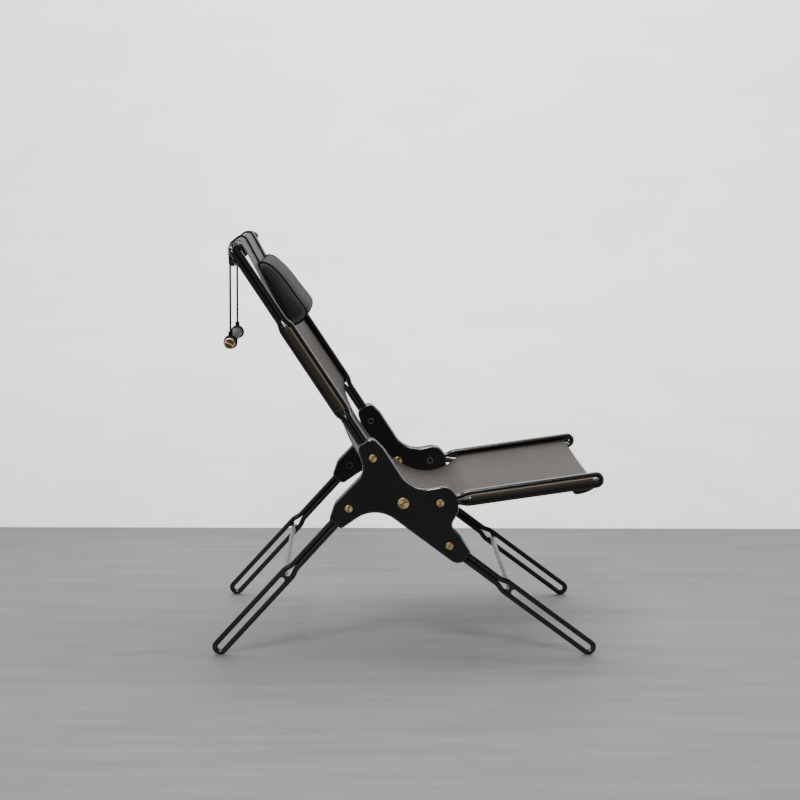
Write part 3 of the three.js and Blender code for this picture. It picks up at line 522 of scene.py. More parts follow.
# The third colour is the fan's painted shade. The last colour fills the edge faces: painted shade in a
# screw's slot, bright brass on the rim and slot of a weight disc.
BRASS = brass_look("brass", (0.78, 0.55, 0.27), (0.98, 0.76, 0.43), (0.30, 0.17, 0.055), (0.04, 0.024, 0.01))
DISC = brass_look(
    "brass_disc", (0.15, 0.09, 0.045), (0.2, 0.125, 0.06), (0.11, 0.065, 0.03), (1.0, 0.85, 0.55)
)
FITTING = rod_look("fitting_black", (0.008, 0.008, 0.0085), (0.012, 0.012, 0.012))
# the hide's dark colour is painted shade on its hems and on the wrap round the top dowel
HIDE_LOOK = leather_look(
    "hide", (0.048, 0.040, 0.034), (0.024, 0.0205, 0.0155), (0.15, 0.128, 0.106), 0.55, 520, 0.08
)
CUT_COLOR = (0.1, 0.07, 0.05)
RAW_EDGE = leather_look("cut_edge", (0.16, 0.115, 0.075), CUT_COLOR, CUT_COLOR, 0.7, 900, 0.2)
THREAD = leather_look("thread", (0.05, 0.042, 0.034), grey(0.03), grey(0.03), 0.7, 1500, 0.3)
# a painted highlight on the cushion's lips beside its seams
LIP_HIGHLIGHT = (0.085, 0.079, 0.083)
# the cushion's dark colour is painted shade on its domed ends
PAD_LOOK = leather_look(
    "cushion_leather", (0.035, 0.0325, 0.0345), (0.0075, 0.007, 0.0074), LIP_HIGHLIGHT, 0.5, 420, 0.006
)
PIPING = leather_look("piping", grey(0.005), grey(0.004), grey(0.004), 0.5, 600, 0.01)
WEIGHT_LOOK = leather_look(
    "weight_leather", (0.06, 0.058, 0.056), (0.04, 0.038, 0.036), grey(0.02), 0.6, 600
)
CORD_LOOK = cord_look()

# ---------- rods ----------

ROD_SWELL = 0.155


def hairpin(axis, part_at, end_at, z, half_round):
    line = Line(lift(axis.at(ROD_START, NECK), z), lift(axis.along, 0))
    neck = part_at - ROD_START
    free = end_at - part_at - PART_LENGTH
    line.run(neck).shift(1).run(free)
    half_round(line)
    line.run(free).shift(-1).run(neck)
    return line


def leg_loop(axis, part_at, foot, z):
    end_at = np.linalg.norm(foot - axis.origin)
    left = angle_of(axis.left)
    before = (left + math.pi / 2) % (2 * math.pi) - FOOT_CHORD / 2
    after = math.pi - before - FOOT_CHORD

    def half_round(line):
        line.turn(-before, OPEN, 12).turn(-FOOT_CHORD, OPEN, 1).turn(-after, OPEN, 12)

    return hairpin(axis, part_at, end_at, z, half_round)


def seat_loop(z):
    end_at = np.linalg.norm(SEAT_TIP - SEAT)
    return hairpin(seat_axis, SEAT_PART, end_at, z, lambda line: line.turn(-math.pi, OPEN, 28))


def hook_rod(z):
    """Its hook is drawn tighter than in the solid, so that the far one stays behind the leather."""
    line = Line(lift(back_axis.at(ROD_START, -NECK), z), lift(back_axis.along, 0))
    line.run(BACK_PART - ROD_START).shift(-1)
    line.run(BACK_CLOSE - BACK_PART - PART_LENGTH).shift(1)
    line.run(HOOK_AT - BACK_CLOSE - PART_LENGTH)
    return line.turn(-math.pi, HOOK_RADIUS - 2, 24).run(HOOK_LEG / 2)


def back_bow():
    up = lift(back_axis.along, 0)
    across = np.cross(up, (0, 0, -1))
    line = Line(lift(back_axis.at(ROD_START, NECK), HALF_TRACK), up)
    neck = BACK_PART - ROD_START
    free = BACK_CLOSE - BACK_PART - PART_LENGTH
    top = BOW_AT - BOW_CORNER - BACK_CLOSE - PART_LENGTH
    line.run(neck).shift(1).run(free).shift(-1).run(top)
    line.turn(math.pi / 2, BOW_CORNER, 12, across).run(2 * (HALF_TRACK - BOW_CORNER))
    line.turn(math.pi / 2, BOW_CORNER, 12, across)
    return line.run(top).shift(-1).run(free).shift(1).run(neck)


def rod_piece(name, line, node):
    piece = mesh_object(name, *tube(line, ROD_R + ROD_SWELL), ROD_BLACK)
    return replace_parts(piece, node)


def bar_across(name, p, half, radius, material, node, chamfer=0.6):
    """A round bar from side to side of the chair."""
    line = Line(lift(p, -half), Z).run(2 * half)
    piece = mesh_object(name, *tube(line, radius, 32, chamfer), material)
    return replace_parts(piece, node)


for side, name in SIDES:
    z = side * HALF_TRACK
    for end, axis, part_at, foot in LEGS:
        rod_piece(f"{end}_leg_rod_{name}", leg_loop(axis, part_at, foot, z), f"{end}_leg_loop_{name}")
    rod_piece(f"seat_rod_{name}", seat_loop(z), f"seat_loop_{name}")
    rod_piece(f"back_hook_{name}", hook_rod(z), f"hook_rod_{name}")
rod_piece("back_bow_rod", back_bow(), "back_bow")
bar_across("top_roll", tube_centre, INNER_HALF, TUBE / 2, ROD_BLACK, "top_tube")

# ---------- side bodies ----------


def rounded(corners, offset):
    """Points of a clockwise outline whose corners are rounded, moved inwards by the offset."""
    out = []
    for i, (point, radius) in enumerate(corners):
        before = corners[i - 1][0] - point
        after = corners[(i + 1) % len(corners)][0] - point
        before, after = before / np.linalg.norm(before), after / np.linalg.norm(after)
        half = math.acos(max(-1, min(1, before @ after))) / 2
        middle = before + after
        centre = point + middle / np.linalg.norm(middle) * radius / math.sin(half)
        a, b = (angle_of(point + way * radius / math.tan(half) - centre) for way in (before, after))
        sweep = (b - a + math.pi) % (2 * math.pi) - math.pi
        out += arc(centre, radius + math.copysign(offset, sweep), a, sweep, 14)
    return out


def meet(p, d, q, e):
    t = ((q[0] - p[0]) * e[1] - (q[1] - p[1]) * e[0]) / (d[0] * e[1] - d[1] * e[0])
    return p + d * t


BODY_CORNERS = [
    (back_axis.at(41, 14.5), 19),
    (back_axis.at(41, -23.5), 18),
    (back_axis.at(4, -31), 45),
    (meet(back_axis.at(0, -29.5), back_axis.along, seat_axis.at(0, 33), seat_axis.along), 60),
    (seat_axis.at(38, 37), 34),
    (seat_axis.at(38, -24), 17),
    (front_axis.at(-24.3, 36.5), 16),
    (front_axis.at(9, 30.5), 26),
    (front_axis.at(46.5, 16), 6),
    (front_axis.at(50, -24.3), 24),
    (meet(front_axis.at(0, -24.3), front_axis.along, rear_axis.at(0, 38), rear_axis.along), 69),
    (rear_axis.at(46, 18), 12),
    (rear_axis.at(46.5, -15), 6),
    (rear_axis.at(12, -30), 26),
    (back_axis.at(-16, 32), 32),
]
BODY_HALF = 15
BODY_EDGE = 5
BODY_SEAM = 0.35
CLEAR = 0.25
# radius and depth
SCREW_RECESS, CENTRE_RECESS = (8.6, 3), (12.6, 3.2)
INSERT_RECESS, NUT_RECESS = (8.3, 6), (10.7, 2)
# place and turn of the slot
SCREWS = {"back": (BACK, 0.7), "rear": (REAR, 1.4), "seat": (SEAT, 2.1), "front": (FRONT, 2.8)}


def channel(axis, z):
    """A cutter for the groove of two touching rods."""
    r, quarter = ROD_R + CLEAR, math.pi / 2
    ring = arc((NECK, 0), r, -quarter, math.pi, 16) + arc((-NECK, 0), r, quarter, math.pi, 16)
    rings = [[lift(axis.at(d, u), z + w) for u, w in ring] for d in (ROD_START - GAP, 70)]
    return mesh_object("cutter", *rings_mesh(rings), None, None)


def disc_cutter(at, radius, low, high):
    verts, faces = lathe([(radius, low), (radius, high)], 40)
    return mesh_object("cutter", verts + lift(at, 0), faces, None, None)


def cheek(name, middle, face, recess, centre_recess, node):
    """Half of a side body, from the seam on its middle to the rounded edge, cut for rods and screws."""
    profile = [(BODY_SEAM, GAP / 2), (0.0, GAP / 2 + BODY_SEAM)]
    for t in np.linspace(0, math.pi / 2, 9):
        profile.append((BODY_EDGE * (1 - math.cos(t)), BODY_HALF - BODY_EDGE + BODY_EDGE * math.sin(t)))
    rings = [[lift(p, middle + face * h) for p in rounded(BODY_CORNERS, inset)] for inset, h in profile]
    piece = mesh_object(name, *rings_mesh(rings), LACQUER, None)
    face_out(piece, 1e-6)
    cutters = [channel(a, middle) for a in (back_axis, rear_axis, seat_axis, front_axis)]
    skin = middle + face * BODY_HALF
    for at, (radius, depth) in [(at, recess) for at, _ in SCREWS.values()] + [(CENTRE, centre_recess)]:
        cutters.append(disc_cutter(at, radius, *sorted((skin + face * 2, skin - face * depth))))
    cut_with(piece, cutters)
    smooth(piece, 30)
    facing = [abs(p.normal.y) for p in piece.data.polygons]
    point_value(piece, "edge", [1.0 if f < 0.15 else 0.5 * (f > 0.985) for f in facing], "FACE")
    even_normals(piece)
    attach(piece, "frame")
    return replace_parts(piece, node)


for side, name in SIDES:
    middle = side * HALF_TRACK
    cheek(f"{name}_plate_outer", middle, side, SCREW_RECESS, CENTRE_RECESS, f"{name}_outer_cheek")
    cheek(f"{name}_plate_inner", middle, -side, INSERT_RECESS, NUT_RECESS, f"{name}_inner_cheek")

# ---------- screws, inserts and nuts ----------

SLOT_WIDTH, SLOT_DEPTH = 1.7, 1.3
RING_OUT, RING_BORE, RING_LENGTH, RING_CHAMFER = 8.0, 4.2, 6, 0.5


def slotted(name, radius, height, chamfer, at, face, turn, node, body="frame"):
    """A turned head or disc with a screwdriver slot, its top towards the face side."""
    profile = [(radius, 0), (radius, height - chamfer), (radius - chamfer * 0.3, height - chamfer * 0.3)]
    profile += [(radius - chamfer, height), (radius - chamfer - 1.2, height - 0.12)]
    verts, faces = lathe(profile)
    heading = (0, 0, face)
    on_weight = body != "frame"
    piece = mesh_object(name, placed(verts, at, heading, turn), faces, DISC if on_weight else BRASS, None, 30, at)
    half, reach = SLOT_WIDTH / 2, radius + 2
    box = [(-reach, -half), (reach, -half), (reach, half), (-reach, half)]
    verts, faces = rings_mesh([[(*p, z) for p in box] for z in (height - SLOT_DEPTH, height + 2)])
    cut_with(piece, [mesh_object("cutter", placed(verts, at, heading, turn), faces, None, None)])
    smooth(piece, 25)
    # Edge faces: on a screw head the slot, sunk below the top, which gets painted shade; on a weight disc the
    # rim and the slot, which get bright brass.
    flags = []
    for polygon in piece.data.polygons:
        x, y, z = polygon.center / MM
        rise, spread = -y * face, math.hypot(x, z)
        rim = spread > radius - chamfer - 0.2
        flags.append(float(rim and on_weight or not rim and rise < height - 0.25))
    point_value(piece, "edge", flags, "FACE")
    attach(piece, body)
    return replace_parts(piece, node)


def ring_piece(name, at, face, node):
    low, high = RING_LENGTH - RING_CHAMFER, RING_LENGTH
    profile = [(RING_BORE, 0), (RING_OUT, 0), (RING_OUT, low), (RING_OUT - RING_CHAMFER, high)]
    profile += [(RING_BORE + RING_CHAMFER, high), (RING_BORE, low)]
    verts, faces = lathe(profile, 40, True)
    piece = mesh_object(name, placed(verts, at, (0, 0, face)), faces, RING_STEEL, "frame", 30)
    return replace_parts(piece, node)


for side, name in SIDES:
    skin, inner_skin = side * (HALF_TRACK + BODY_HALF), side * (HALF_TRACK - BODY_HALF)
    for where, (at, turn) in SCREWS.items():
        head_at = lift(at, skin + side * (GAP - SCREW_RECESS[1]))
        slotted(f"{name}_head_{where}", 8.3, 4, 0.8, head_at, side, turn, f"{name}_screw_{where}")
        ring_at = lift(at, inner_skin + side * (INSERT_RECESS[1] - 0.4))
        ring_piece(f"{name}_ring_{where}", ring_at, -side, f"{name}_insert_{where}")
    head_at = lift(CENTRE, skin + side * (GAP - CENTRE_RECESS[1]))
    slotted(f"{name}_head_centre", 12.3, 5, 1, head_at, side, 0.4, f"{name}_screw_centre")
    nut_at = lift(CENTRE, inner_skin + side * (NUT_RECESS[1] - GAP))
    slotted(f"{name}_cap_nut", 10.4, 5, 0.8, nut_at, -side, 1.1, f"{name}_nut")

# ---------- crossbars, saddles and spreader ----------

SADDLE_HALF, SADDLE_WAIST, SADDLE_CHAMFER = 9, 1, 0.4
SADDLE_STEPS = (-6, -5.6, -4.6, -3.2, -1.6, 0, 1.6, 3.2, 4.6, 5.6, 6)
SPREADER_CHAMFER = 0.8


def bezier2(a, b, c, steps):
    return [(1 - t) ** 2 * a + 2 * t * (1 - t) * b + t * t * c for t in np.linspace(0, 1, steps)]


def saddle(name, axis, eye, z, node):
    """A saddle between the two rods of a leg, hollow at both ends, its sides laid along the rods."""
    rings = []
    for step in SADDLE_STEPS:
        inset = SADDLE_CHAMFER * (abs(step) == SADDLE_STEPS[-1])
        side = OPEN - math.sqrt((ROD_R + CLEAR) ** 2 - min(abs(step), 5.2) ** 2) - inset
        low = np.array([(-side, inset - SADDLE_HALF), (0, SADDLE_WAIST + inset), (side, inset - SADDLE_HALF)])
        half = bezier2(*low, 12)
        ring = half + [-p for p in half]
        rings.append([lift(eye + axis.along * v + axis.left * u, z + step) for u, v in ring])
    piece = mesh_object(name, *rings_mesh(rings), FITTING)
    face_out(piece)
    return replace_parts(piece, node)


for end, axis, part_at, _ in LEGS:
    eye = axis.at(part_at + PART_LENGTH + 6.5, 0)
    for side, name in SIDES:
        saddle(f"{end}_saddle_{name}", axis, eye, side * HALF_TRACK, f"{end}_spool_{name}")
    bar_across(f"{end}_stretcher", eye, INNER_HALF, 5.5, STEEL, f"{end}_crossbar", 0.8)


def spreader():
    """The oval bar under the seat rods, its ends with a small chamfer."""
    at = lambda along, down: seat_axis.at(along, -down)
    section = [at(286, 10), *bezier2(at(286, 12), at(286, 27.5), at(298, 27.5), 14)]
    section += bezier2(at(298, 27.5), at(322, 27.5), at(339, 17), 14)[1:]
    section += [at(339, 11), at(337.5, 10)]
    section = section[::-1]
    middle = np.mean(section, 0)
    inwards = [(middle - p) / np.linalg.norm(middle - p) for p in section]
    half, body = INNER_HALF, INNER_HALF - SPREADER_CHAMFER
    rings = []
    for z, inset in ((-half, SPREADER_CHAMFER), (-body, 0), (body, 0), (half, SPREADER_CHAMFER)):
        rings.append([lift(p + way * inset, z) for p, way in zip(section, inwards)])
    piece = mesh_object("front_spreader", *rings_mesh(rings), FITTING)
    face_out(piece)
    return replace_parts(piece, "seat_spreader")


spreader()

# ---------- sling ----------

HEM_WRAP = math.radians(290)
HEM_LEAD = math.radians(135)
HEM_MID = (DOWEL / 2 + GAP + HIDE / 2) / math.cos(HEM_WRAP / 16)
HEM_OUT = math.sqrt((HEM_MID + HIDE / 2 + ROD_R + GAP) ** 2 - OPEN**2)
HEM_ROWS = 29
TUBE_MID = TUBE / 2 + GAP + HIDE / 2
BOW_MID = ROD_R + GAP + HIDE / 2
BACK_HEM, SEAT_HEM = (123, 331), (67, 333)
HIDE_HALF, TOP_HALF = 258, 240
BACK_SAG, SEAT_SAG = 30, 8
ENTRY_AT = 338
top_dowel = back_axis.at(513, NECK + ROD_R + GAP + DOWEL / 2)
hide_entry = back_axis.at(ENTRY_AT, 0)
HIDE_DIP = CENTRE + (68.55, -23.55)


def touch(a, ra, b, rb):
    """The angle at which a band leaves one circle for the next."""
    return angle_of(b - a) + math.pi / 2 - math.asin((ra - rb) / np.linalg.norm(b - a))


def less(angle, than):
    return than - (than - angle) % (2 * math.pi)


hem_to_bow = touch(top_dowel, HEM_MID, bow_centre, BOW_MID)
bow_to_tube = touch(bow_centre, BOW_MID, tube_centre, TUBE_MID)
tube_to_entry = touch(tube_centre, TUBE_MID, hide_entry, 0)
bow_end = less(bow_to_tube, hem_to_bow)
tube_end = less(tube_to_entry, bow_end)


def bezier3(a, b, c, d, t):
    return (1 - t) ** 3 * a + 3 * t * (1 - t) ** 2 * b + 3 * t * t * (1 - t) * c + t**3 * d


def even(values, low, high, times):
    """Smooths a stretch of rows between its neighbours."""
    for _ in range(times):
        before, after = values[low - 1 : high - 1], values[low + 1 : high + 1]
        values[low:high] = (before + 2 * values[low:high] + after) / 4


def hide_rows():
    """Rows along the hide: middle, half width, sag, the axis of a hem, the ease of a bend, and down."""
    rows = []
    add = lambda p, half, sag=0.0, hem=None: rows.append((p, half, sag, hem))
    for t in np.linspace(1, 0, HEM_ROWS):
        add(polar(top_dowel, HEM_MID, hem_to_bow + HEM_WRAP * t), TOP_HALF)
    for t in np.linspace(0, 1, 8):
        add(polar(bow_centre, BOW_MID, hem_to_bow + (bow_end - hem_to_bow) * t), TOP_HALF)
    a, b = rows[-1][0], polar(tube_centre, TUBE_MID, bow_end)
    for t in (1 / 3, 2 / 3):
        add(a + (b - a) * t, TOP_HALF)
    for t in np.linspace(0, 1, 18):
        add(polar(tube_centre, TUBE_MID, bow_end + (tube_end - bow_end) * t), TOP_HALF)
    first, last = len(rows), rows[-1][0]
    for t in np.linspace(0, 1, 31)[1:]:
        sag = BACK_SAG * np.interp(t, (0, 0.35, 0.7, 1), (0, 0.01, 0.06, 0.2))
        add(last + (hide_entry - last) * t, TOP_HALF + (HIDE_HALF - TOP_HALF) * t, sag)
    low, high = BACK_HEM
    for t in np.linspace(0, 1, 33):
        sag = BACK_SAG * np.interp(t, (0, 0.24, 0.5, 0.76, 1), (0.27, 0.6, 0.92, 1, 0.9))
        add(back_axis.at(high + (low - high) * t, 0), HIDE_HALF, sag, back_axis)
    leave_row = len(rows) - 1
    leave, enter = back_axis.at(BACK_HEM[0], 0), seat_axis.at(SEAT_HEM[0], 0)
    for t in np.linspace(0, 1, 25)[1:]:
        p = bezier3(leave, leave + (0, -70), HIDE_DIP + (-95, 0), HIDE_DIP, t)
        add(p, HIDE_HALF, BACK_SAG * np.interp(t * 8, (0, 1, 2, 3, 4), (0.9, 0.55, 0.29, 0.11, 0)))
    dip = len(rows)
    for t in np.linspace(0, 1, 15)[1:-1]:
        add(bezier3(HIDE_DIP, HIDE_DIP + (30, 0), enter - (15, 15), enter, t), HIDE_HALF)
    low, high = SEAT_HEM
    for t in np.linspace(0, 1, 43):
        sag = SEAT_SAG * np.interp(t, (0, 0.25, 0.5, 0.75, 1), (0.15, 0.75, 1, 0.85, 0.62))
        add(seat_axis.at(low + (high - low) * t, 0), HIDE_HALF, sag, seat_axis)
    sags = np.array([r[2] for r in rows])
    even(sags, first, len(rows) - 1, 6)
    line = np.array([r[0] for r in rows])
    eased = line.copy()
    even(eased, leave_row - 5, leave_row + 9, 14)
    even(eased, dip - 4, dip + 30, 14)
    travel = np.gradient(line, axis=0)
    travel /= np.linalg.norm(travel, axis=1, keepdims=True)
    even(travel, leave_row - 12, leave_row + 14, 60)
    under = np.stack([travel[:, 1], -travel[:, 0]], 1)
    _, halves, _, hems = zip(*rows)
    return list(zip(line, halves, sags, hems, eased - line, under))


def hem_profile():
    """From the hide's side up and round a dowel, as distances out and aside."""
    climb = math.pi - HEM_LEAD
    dowel = np.array([HEM_OUT, 0])
    join = polar(dowel, HEM_MID, HEM_LEAD)
    bend = join[1] / (1 - math.cos(climb))
    start = join[0] - bend * math.sin(climb)
    points = [(start + bend * math.sin(t), bend * (1 - math.cos(t))) for t in climb * np.arange(4) / 4]
    return points + arc(dowel, HEM_MID, HEM_LEAD, -HEM_WRAP, 22)


def whole(mask):
    """The cells of a grid whose four corners belong to the sheet."""
    return mask[:-1, :-1] & mask[1:, :-1] & mask[:-1, 1:] & mask[1:, 1:]


def reach_of(points, mask):
    """From the point before to the point after, or from the point itself where one is missing."""
    before, after = points.copy(), points.copy()
    before[1:][mask[:-1]] = points[:-1][mask[:-1]]
    after[:-1][mask[1:]] = points[1:][mask[1:]]
    return after - before


def sheet_mesh(grid, mask, thickness):
    """A sheet of even thickness about a grid of middle points. Masked out cells stay open."""
    across = reach_of(grid.swapaxes(0, 1), mask.T).swapaxes(0, 1)
    normal = np.cross(reach_of(grid, mask), across)[mask]
    length = np.linalg.norm(normal, axis=-1, keepdims=True)
    half = normal / np.where(length == 0, 1, length) * thickness / 2
    verts = np.concatenate([grid[mask] + half, grid[mask] - half])
    count = len(half)
    index = np.zeros(mask.shape, int)
    index[mask] = np.arange(count)
    cells = np.pad(whole(mask), 1)
    faces, edge = [], []
    for i, j in zip(*np.nonzero(cells)):
        a, b, c, d = index[i - 1, j - 1], index[i, j - 1], index[i, j], index[i - 1, j]
        faces += [(a, b, c, d), (a + count, d + count, c + count, b + count)]
        for down, right, start, end in ((0, -1, a, b), (1, 0, b, c), (0, 1, c, d), (-1, 0, d, a)):
            if not cells[i + down, j + right]:
                edge.append(len(faces))
                faces.append((start, start + count, end + count, end))
    return verts, faces, edge


def hem_turn(axis):
    """The side to which a hem is turned."""
    return -1 if axis is back_axis else 1


def sling():
    rows, hem = hide_rows(), hem_profile()
    shares = np.concatenate([np.linspace(-1, -0.9, 5), np.linspace(-0.86, 0.86, 41), np.linspace(0.9, 1, 5)])
    n, after = len(hem), len(hem) + len(shares)
    grid = np.zeros((len(rows), after + n, 3))
    mask = np.zeros(grid.shape[:2], bool)
    # dark marks the wrap round the top dowel and the side hems, which get painted shade
    dark = np.zeros(grid.shape[:2])
    mask[:, n:after] = True
    dark[: HEM_ROWS + 1] = 1
    for i, (p, half, sag, axis, ease, under) in enumerate(rows):
        for k, share in enumerate(shares):
            drop = under * sag * (1 - share * share) + ease * (1 - share**8)
            grid[i, n + k] = lift(p + drop, share * half)
        if axis is None:
            continue
        for sign, start in ((-1, n - 1), (1, after)):
            for k, (out, aside) in enumerate(hem):
                j = start + sign * k
                grid[i, j] = lift(p + axis.left * hem_turn(axis) * aside, sign * (HALF_TRACK + out))
                mask[i, j] = dark[i, j] = True
    verts, faces, edge = sheet_mesh(grid, mask, HIDE)
    piece = mesh_object("sling_hide", verts, faces, HIDE_LOOK, "frame", 50)
    point_value(piece, "hem", np.tile(dark[mask], 2))
    point_value(piece, "edge", np.isin(np.arange(len(faces)), edge), "FACE")
    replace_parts(piece, "sling")
    length = sum(np.linalg.norm(b[0] - a[0]) for a, b in zip(rows, rows[1:])) * MM
    width = 2 * (HIDE_HALF + sum(math.dist(a, b) for a, b in zip(hem, hem[1:]))) * MM


sling()

CUT_ANGLE, STITCH_ANGLE = math.radians(52), math.radians(30)
STITCH_STEP, STITCH_INSET = 6.5, 5
# step along, height and half width of a stitch
STITCH = ((-2.2, -0.2, 0.25), (-1.4, 0.4, 0.45), (1.4, 0.4, 0.45), (2.2, -0.2, 0.25))


def on_hem(axis, along, angle, lifted, side):
    """A place on the outside of a hem, its angle measured from straight out."""
    out, aside = polar(np.array([HEM_OUT, 0]), HEM_MID + HIDE / 2 + lifted, angle)
    return lift(axis.at(along, hem_turn(axis) * aside), side * (HALF_TRACK + out))


def hem_edge(name, axis, low, high, side):
    """The cut edge of the turned-in leather, a low strip with rounded shoulders."""
    half = 0.9 / HEM_MID
    section = [(-half, -0.1), (-half, 0.45), (-half * 0.6, 0.75)]
    section += [(-a, h) for a, h in section[::-1]]
    rings = []
    for along in np.linspace(low, high, 30):
        rings.append([on_hem(axis, along, CUT_ANGLE + a, h, side) for a, h in section])
    piece = mesh_object(name, *rings_mesh(rings), RAW_EDGE, "frame", 50)
    face_out(piece)
    return piece


def stitches(name, axis, low, high, side):
    """A row of sewn stitches, each a short bead that dips into the leather at its ends."""
    low, high = low + STITCH_INSET, high - STITCH_INSET
    spots = [(t, STITCH_ANGLE, False) for t in np.arange(low, high, STITCH_STEP)]
    for end in (low, high):
        spots += [(end, STITCH_ANGLE - math.radians(16 * k), True) for k in range(1, 7)]
    beads = []
    for along, at, turned in spots:
        rings = []
        for step, height, wide in STITCH:
            ring = []
            for u, v in ((-wide, -0.3), (-wide, height), (wide, height), (wide, -0.3)):
                shift, spread = (u, step) if turned else (step, u)
                ring.append(on_hem(axis, along + shift, at + spread / HEM_MID, v, side))
            rings.append(ring)
        beads.append(rings_mesh(rings))
    piece = mesh_object(name, *joined(beads), THREAD, "frame", 50)
    face_out(piece)
    return piece


# profiles of the rods in the side hems, and where they start on their axis
BACK_ROD = [(5.5, 0), (6.5, 1), (6.5, 225), (5.8, 228), (4.2, 232), (3, 234)]
SEAT_ROD = [
    (1.5, 0), (2, 0.5), (3.4, 6), (4.9, 12.5), (6.0, 18), (6.4, 20.5), (6.5, 23), (6.5, 299), (5.5, 300),
]
HEMS = (("back", back_axis, BACK_HEM, 112, BACK_ROD), ("seat", seat_axis, SEAT_HEM, 45, SEAT_ROD))

for side, name in SIDES:
    for where, axis, hem, _, _ in HEMS:
        hem_edge(f"{where}_hem_edge_{name}", axis, *hem, side)
        stitches(f"{where}_hem_stitches_{name}", axis, *hem, side)
for side, name in SIDES:
    for where, axis, _, rod_at, profile in HEMS:
        verts, faces = lathe(profile, 32)
        verts = placed(verts, lift(axis.at(rod_at, 0), side * (HALF_TRACK + HEM_OUT)), lift(axis.along, 0))
        piece = mesh_object(f"{where}_rod_{name}_in_hem", verts, faces, DOWEL_STEEL)
        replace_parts(piece, f"{where}_dowel_{name}")
bar_across("top_rod_in_hem", top_dowel, 286, DOWEL / 2, DOWEL_STEEL, "top_dowel", 1.0)

# ---------- headrest cushion ----------

upper_run = Axis(hide_entry, polar(tube_centre, TUBE_MID, tube_to_entry) - hide_entry)
PAD_WIDTH, PAD_THICK, PAD_CROWN, PAD_DRAW, PAD_DOME = 310, 45, 13, 4, 13
PAD_LOW, PAD_HIGH = 325, 479
PAD_LENGTH = PAD_HIGH - PAD_LOW
PAD_MIDDLE = (PAD_HIGH + PAD_LOW) / 2 - ENTRY_AT
PAD_BASE = -(HIDE / 2 + GAP)
PAD_OUTLINE = [
    (0.94, 0), (0.985, 0.06), (0.995, 0.17), (0.97, 0.33), (0.9, 0.51), (0.77, 0.67), (0.6, 0.79),
    (0.37, 0.895), (0.2, 0.985), (0.1, 1), (0.025, 0.82), (0, 0.45), (0.01, 0),
]
PAD_GROWS = (0.1, 0.25, 0.4, 0.55, 0.7, 0.82, 0.91, 0.97)
PIPING_R = 2


def spline(points, steps):
    """A smooth line through points, evenly stepped between each pair."""
    p = [np.asarray(q, float) for q in (points[0], *points, points[-1])]
    out = []
    for a, b, c, d in zip(p, p[1:], p[2:], p[3:]):
        for t in np.arange(steps) / steps:
            bend = (2 * a - 5 * b + 4 * c - d) * t * t + (3 * b - a - 3 * c + d) * t**3
            out.append(0.5 * (2 * b + (c - a) * t + bend))
    return out + [p[-1]]


def piping(name, row):
    """The thin cord sewn into a seam, round the end of the cushion."""
    points, middle = np.array(row), np.mean(row, 0)
    rings = []
    for i, p in enumerate(points):
        heading = points[(i + 1) % len(points)] - points[i - 1]
        away = (p - middle) * (1, 1, 0)
        proud = away / np.linalg.norm(away) * 0.9 + Z * math.copysign(1.1, p[2])
        rings.append(circle(p + proud, Z, np.cross(heading / np.linalg.norm(heading), Z), PIPING_R, 12))
    piece = mesh_object(name, *rings_mesh(rings, True), PIPING, "headrest_body", 60)
    face_out(piece)
    return piece


def cushion():
    """The crowned cushion, ring by ring across its width, with domed ends inside its two seams."""
    back = [np.array([0.01 + 0.93 * t, 0.0]) for t in np.linspace(0, 1, 26)[1:-1]]
    ring = [np.array([(a - 0.5) * PAD_LENGTH, b * PAD_THICK]) for a, b in spline(PAD_OUTLINE, 5) + back]
    centre = np.mean(ring, 0)
    rings_at = [(-1, g) for g in PAD_GROWS] + [(w, 1.0) for w in np.linspace(-1, 1, 53)]
    rings_at += [(1, g) for g in PAD_GROWS[::-1]]
    rings, lip_highlight, shade, seams = [], [], [], []
    for w, grow in rings_at:
        end = float(abs(w) == 1)
        across = 1 - 0.5 * w * w - 0.5 * abs(w) ** 9
        bulge = end * math.copysign(PAD_DOME * (1 - grow**2) ** 0.7, w)
        row = []
        for along, rise in (centre + (p - centre) * grow for p in ring):
            out = rise / PAD_THICK
            drawn = PAD_DRAW * (1 - (2 * out - 1) ** 2) * max(0, 1 - (2 * along / PAD_LENGTH) ** 2)
            share = 1 - 2 * drawn * (1 - across) / PAD_WIDTH
            spot = upper_run.at(PAD_MIDDLE + along, PAD_BASE - rise - PAD_CROWN * across * out)
            row.append(lift(spot, w * PAD_WIDTH / 2 * share + bulge))
            # painted shade on the domed ends: darkest at the hide side and the lower end, lighter towards the
            # front and top
            shade.append(end * min(1, max(0, 1.0 - 1.15 * out - 0.3 * (along / PAD_LENGTH + 0.5))))
        rings.append(row)
        # a painted highlight on the end panels' lips beside the seams
        lip_highlight += [end * (grow < 1) * np.interp(grow, (0.85, 0.97), (0, 1))] * len(row)
        if end and grow == 1:
            seams.append(row)
    piece = mesh_object("headrest_cushion", *rings_mesh(rings), PAD_LOOK, None, 60)
    point_value(piece, "edge", lip_highlight)
    point_value(piece, "hem", shade)
    face_out(piece)
    for row, name in zip(seams, ("far", "near")):
        piping(f"headrest_piping_{name}", row)
    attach(piece, "headrest_body")
    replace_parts(piece, "headrest")
    return piece


cushion()

# ---------- cords and counterweight ----------

CORD_OFF = HIDE / 2 + 0.45 + CORD / 2
CORD_Z = 120
WEIGHT_R, WEIGHT_HALF, CAP_LENGTH = 11, 160, 6
LOOP_R = WEIGHT_R + GAP + CORD / 2
KNOT_R, KNOT_CORD_R, KNOT_TURNS = 3.9, 1.5, (0.7, 3.4, 6.1)


def hung(x, y, z):
    """A place on the counterweight, from its middle."""
    return np.array([x, WEIGHT_Y + y, z])


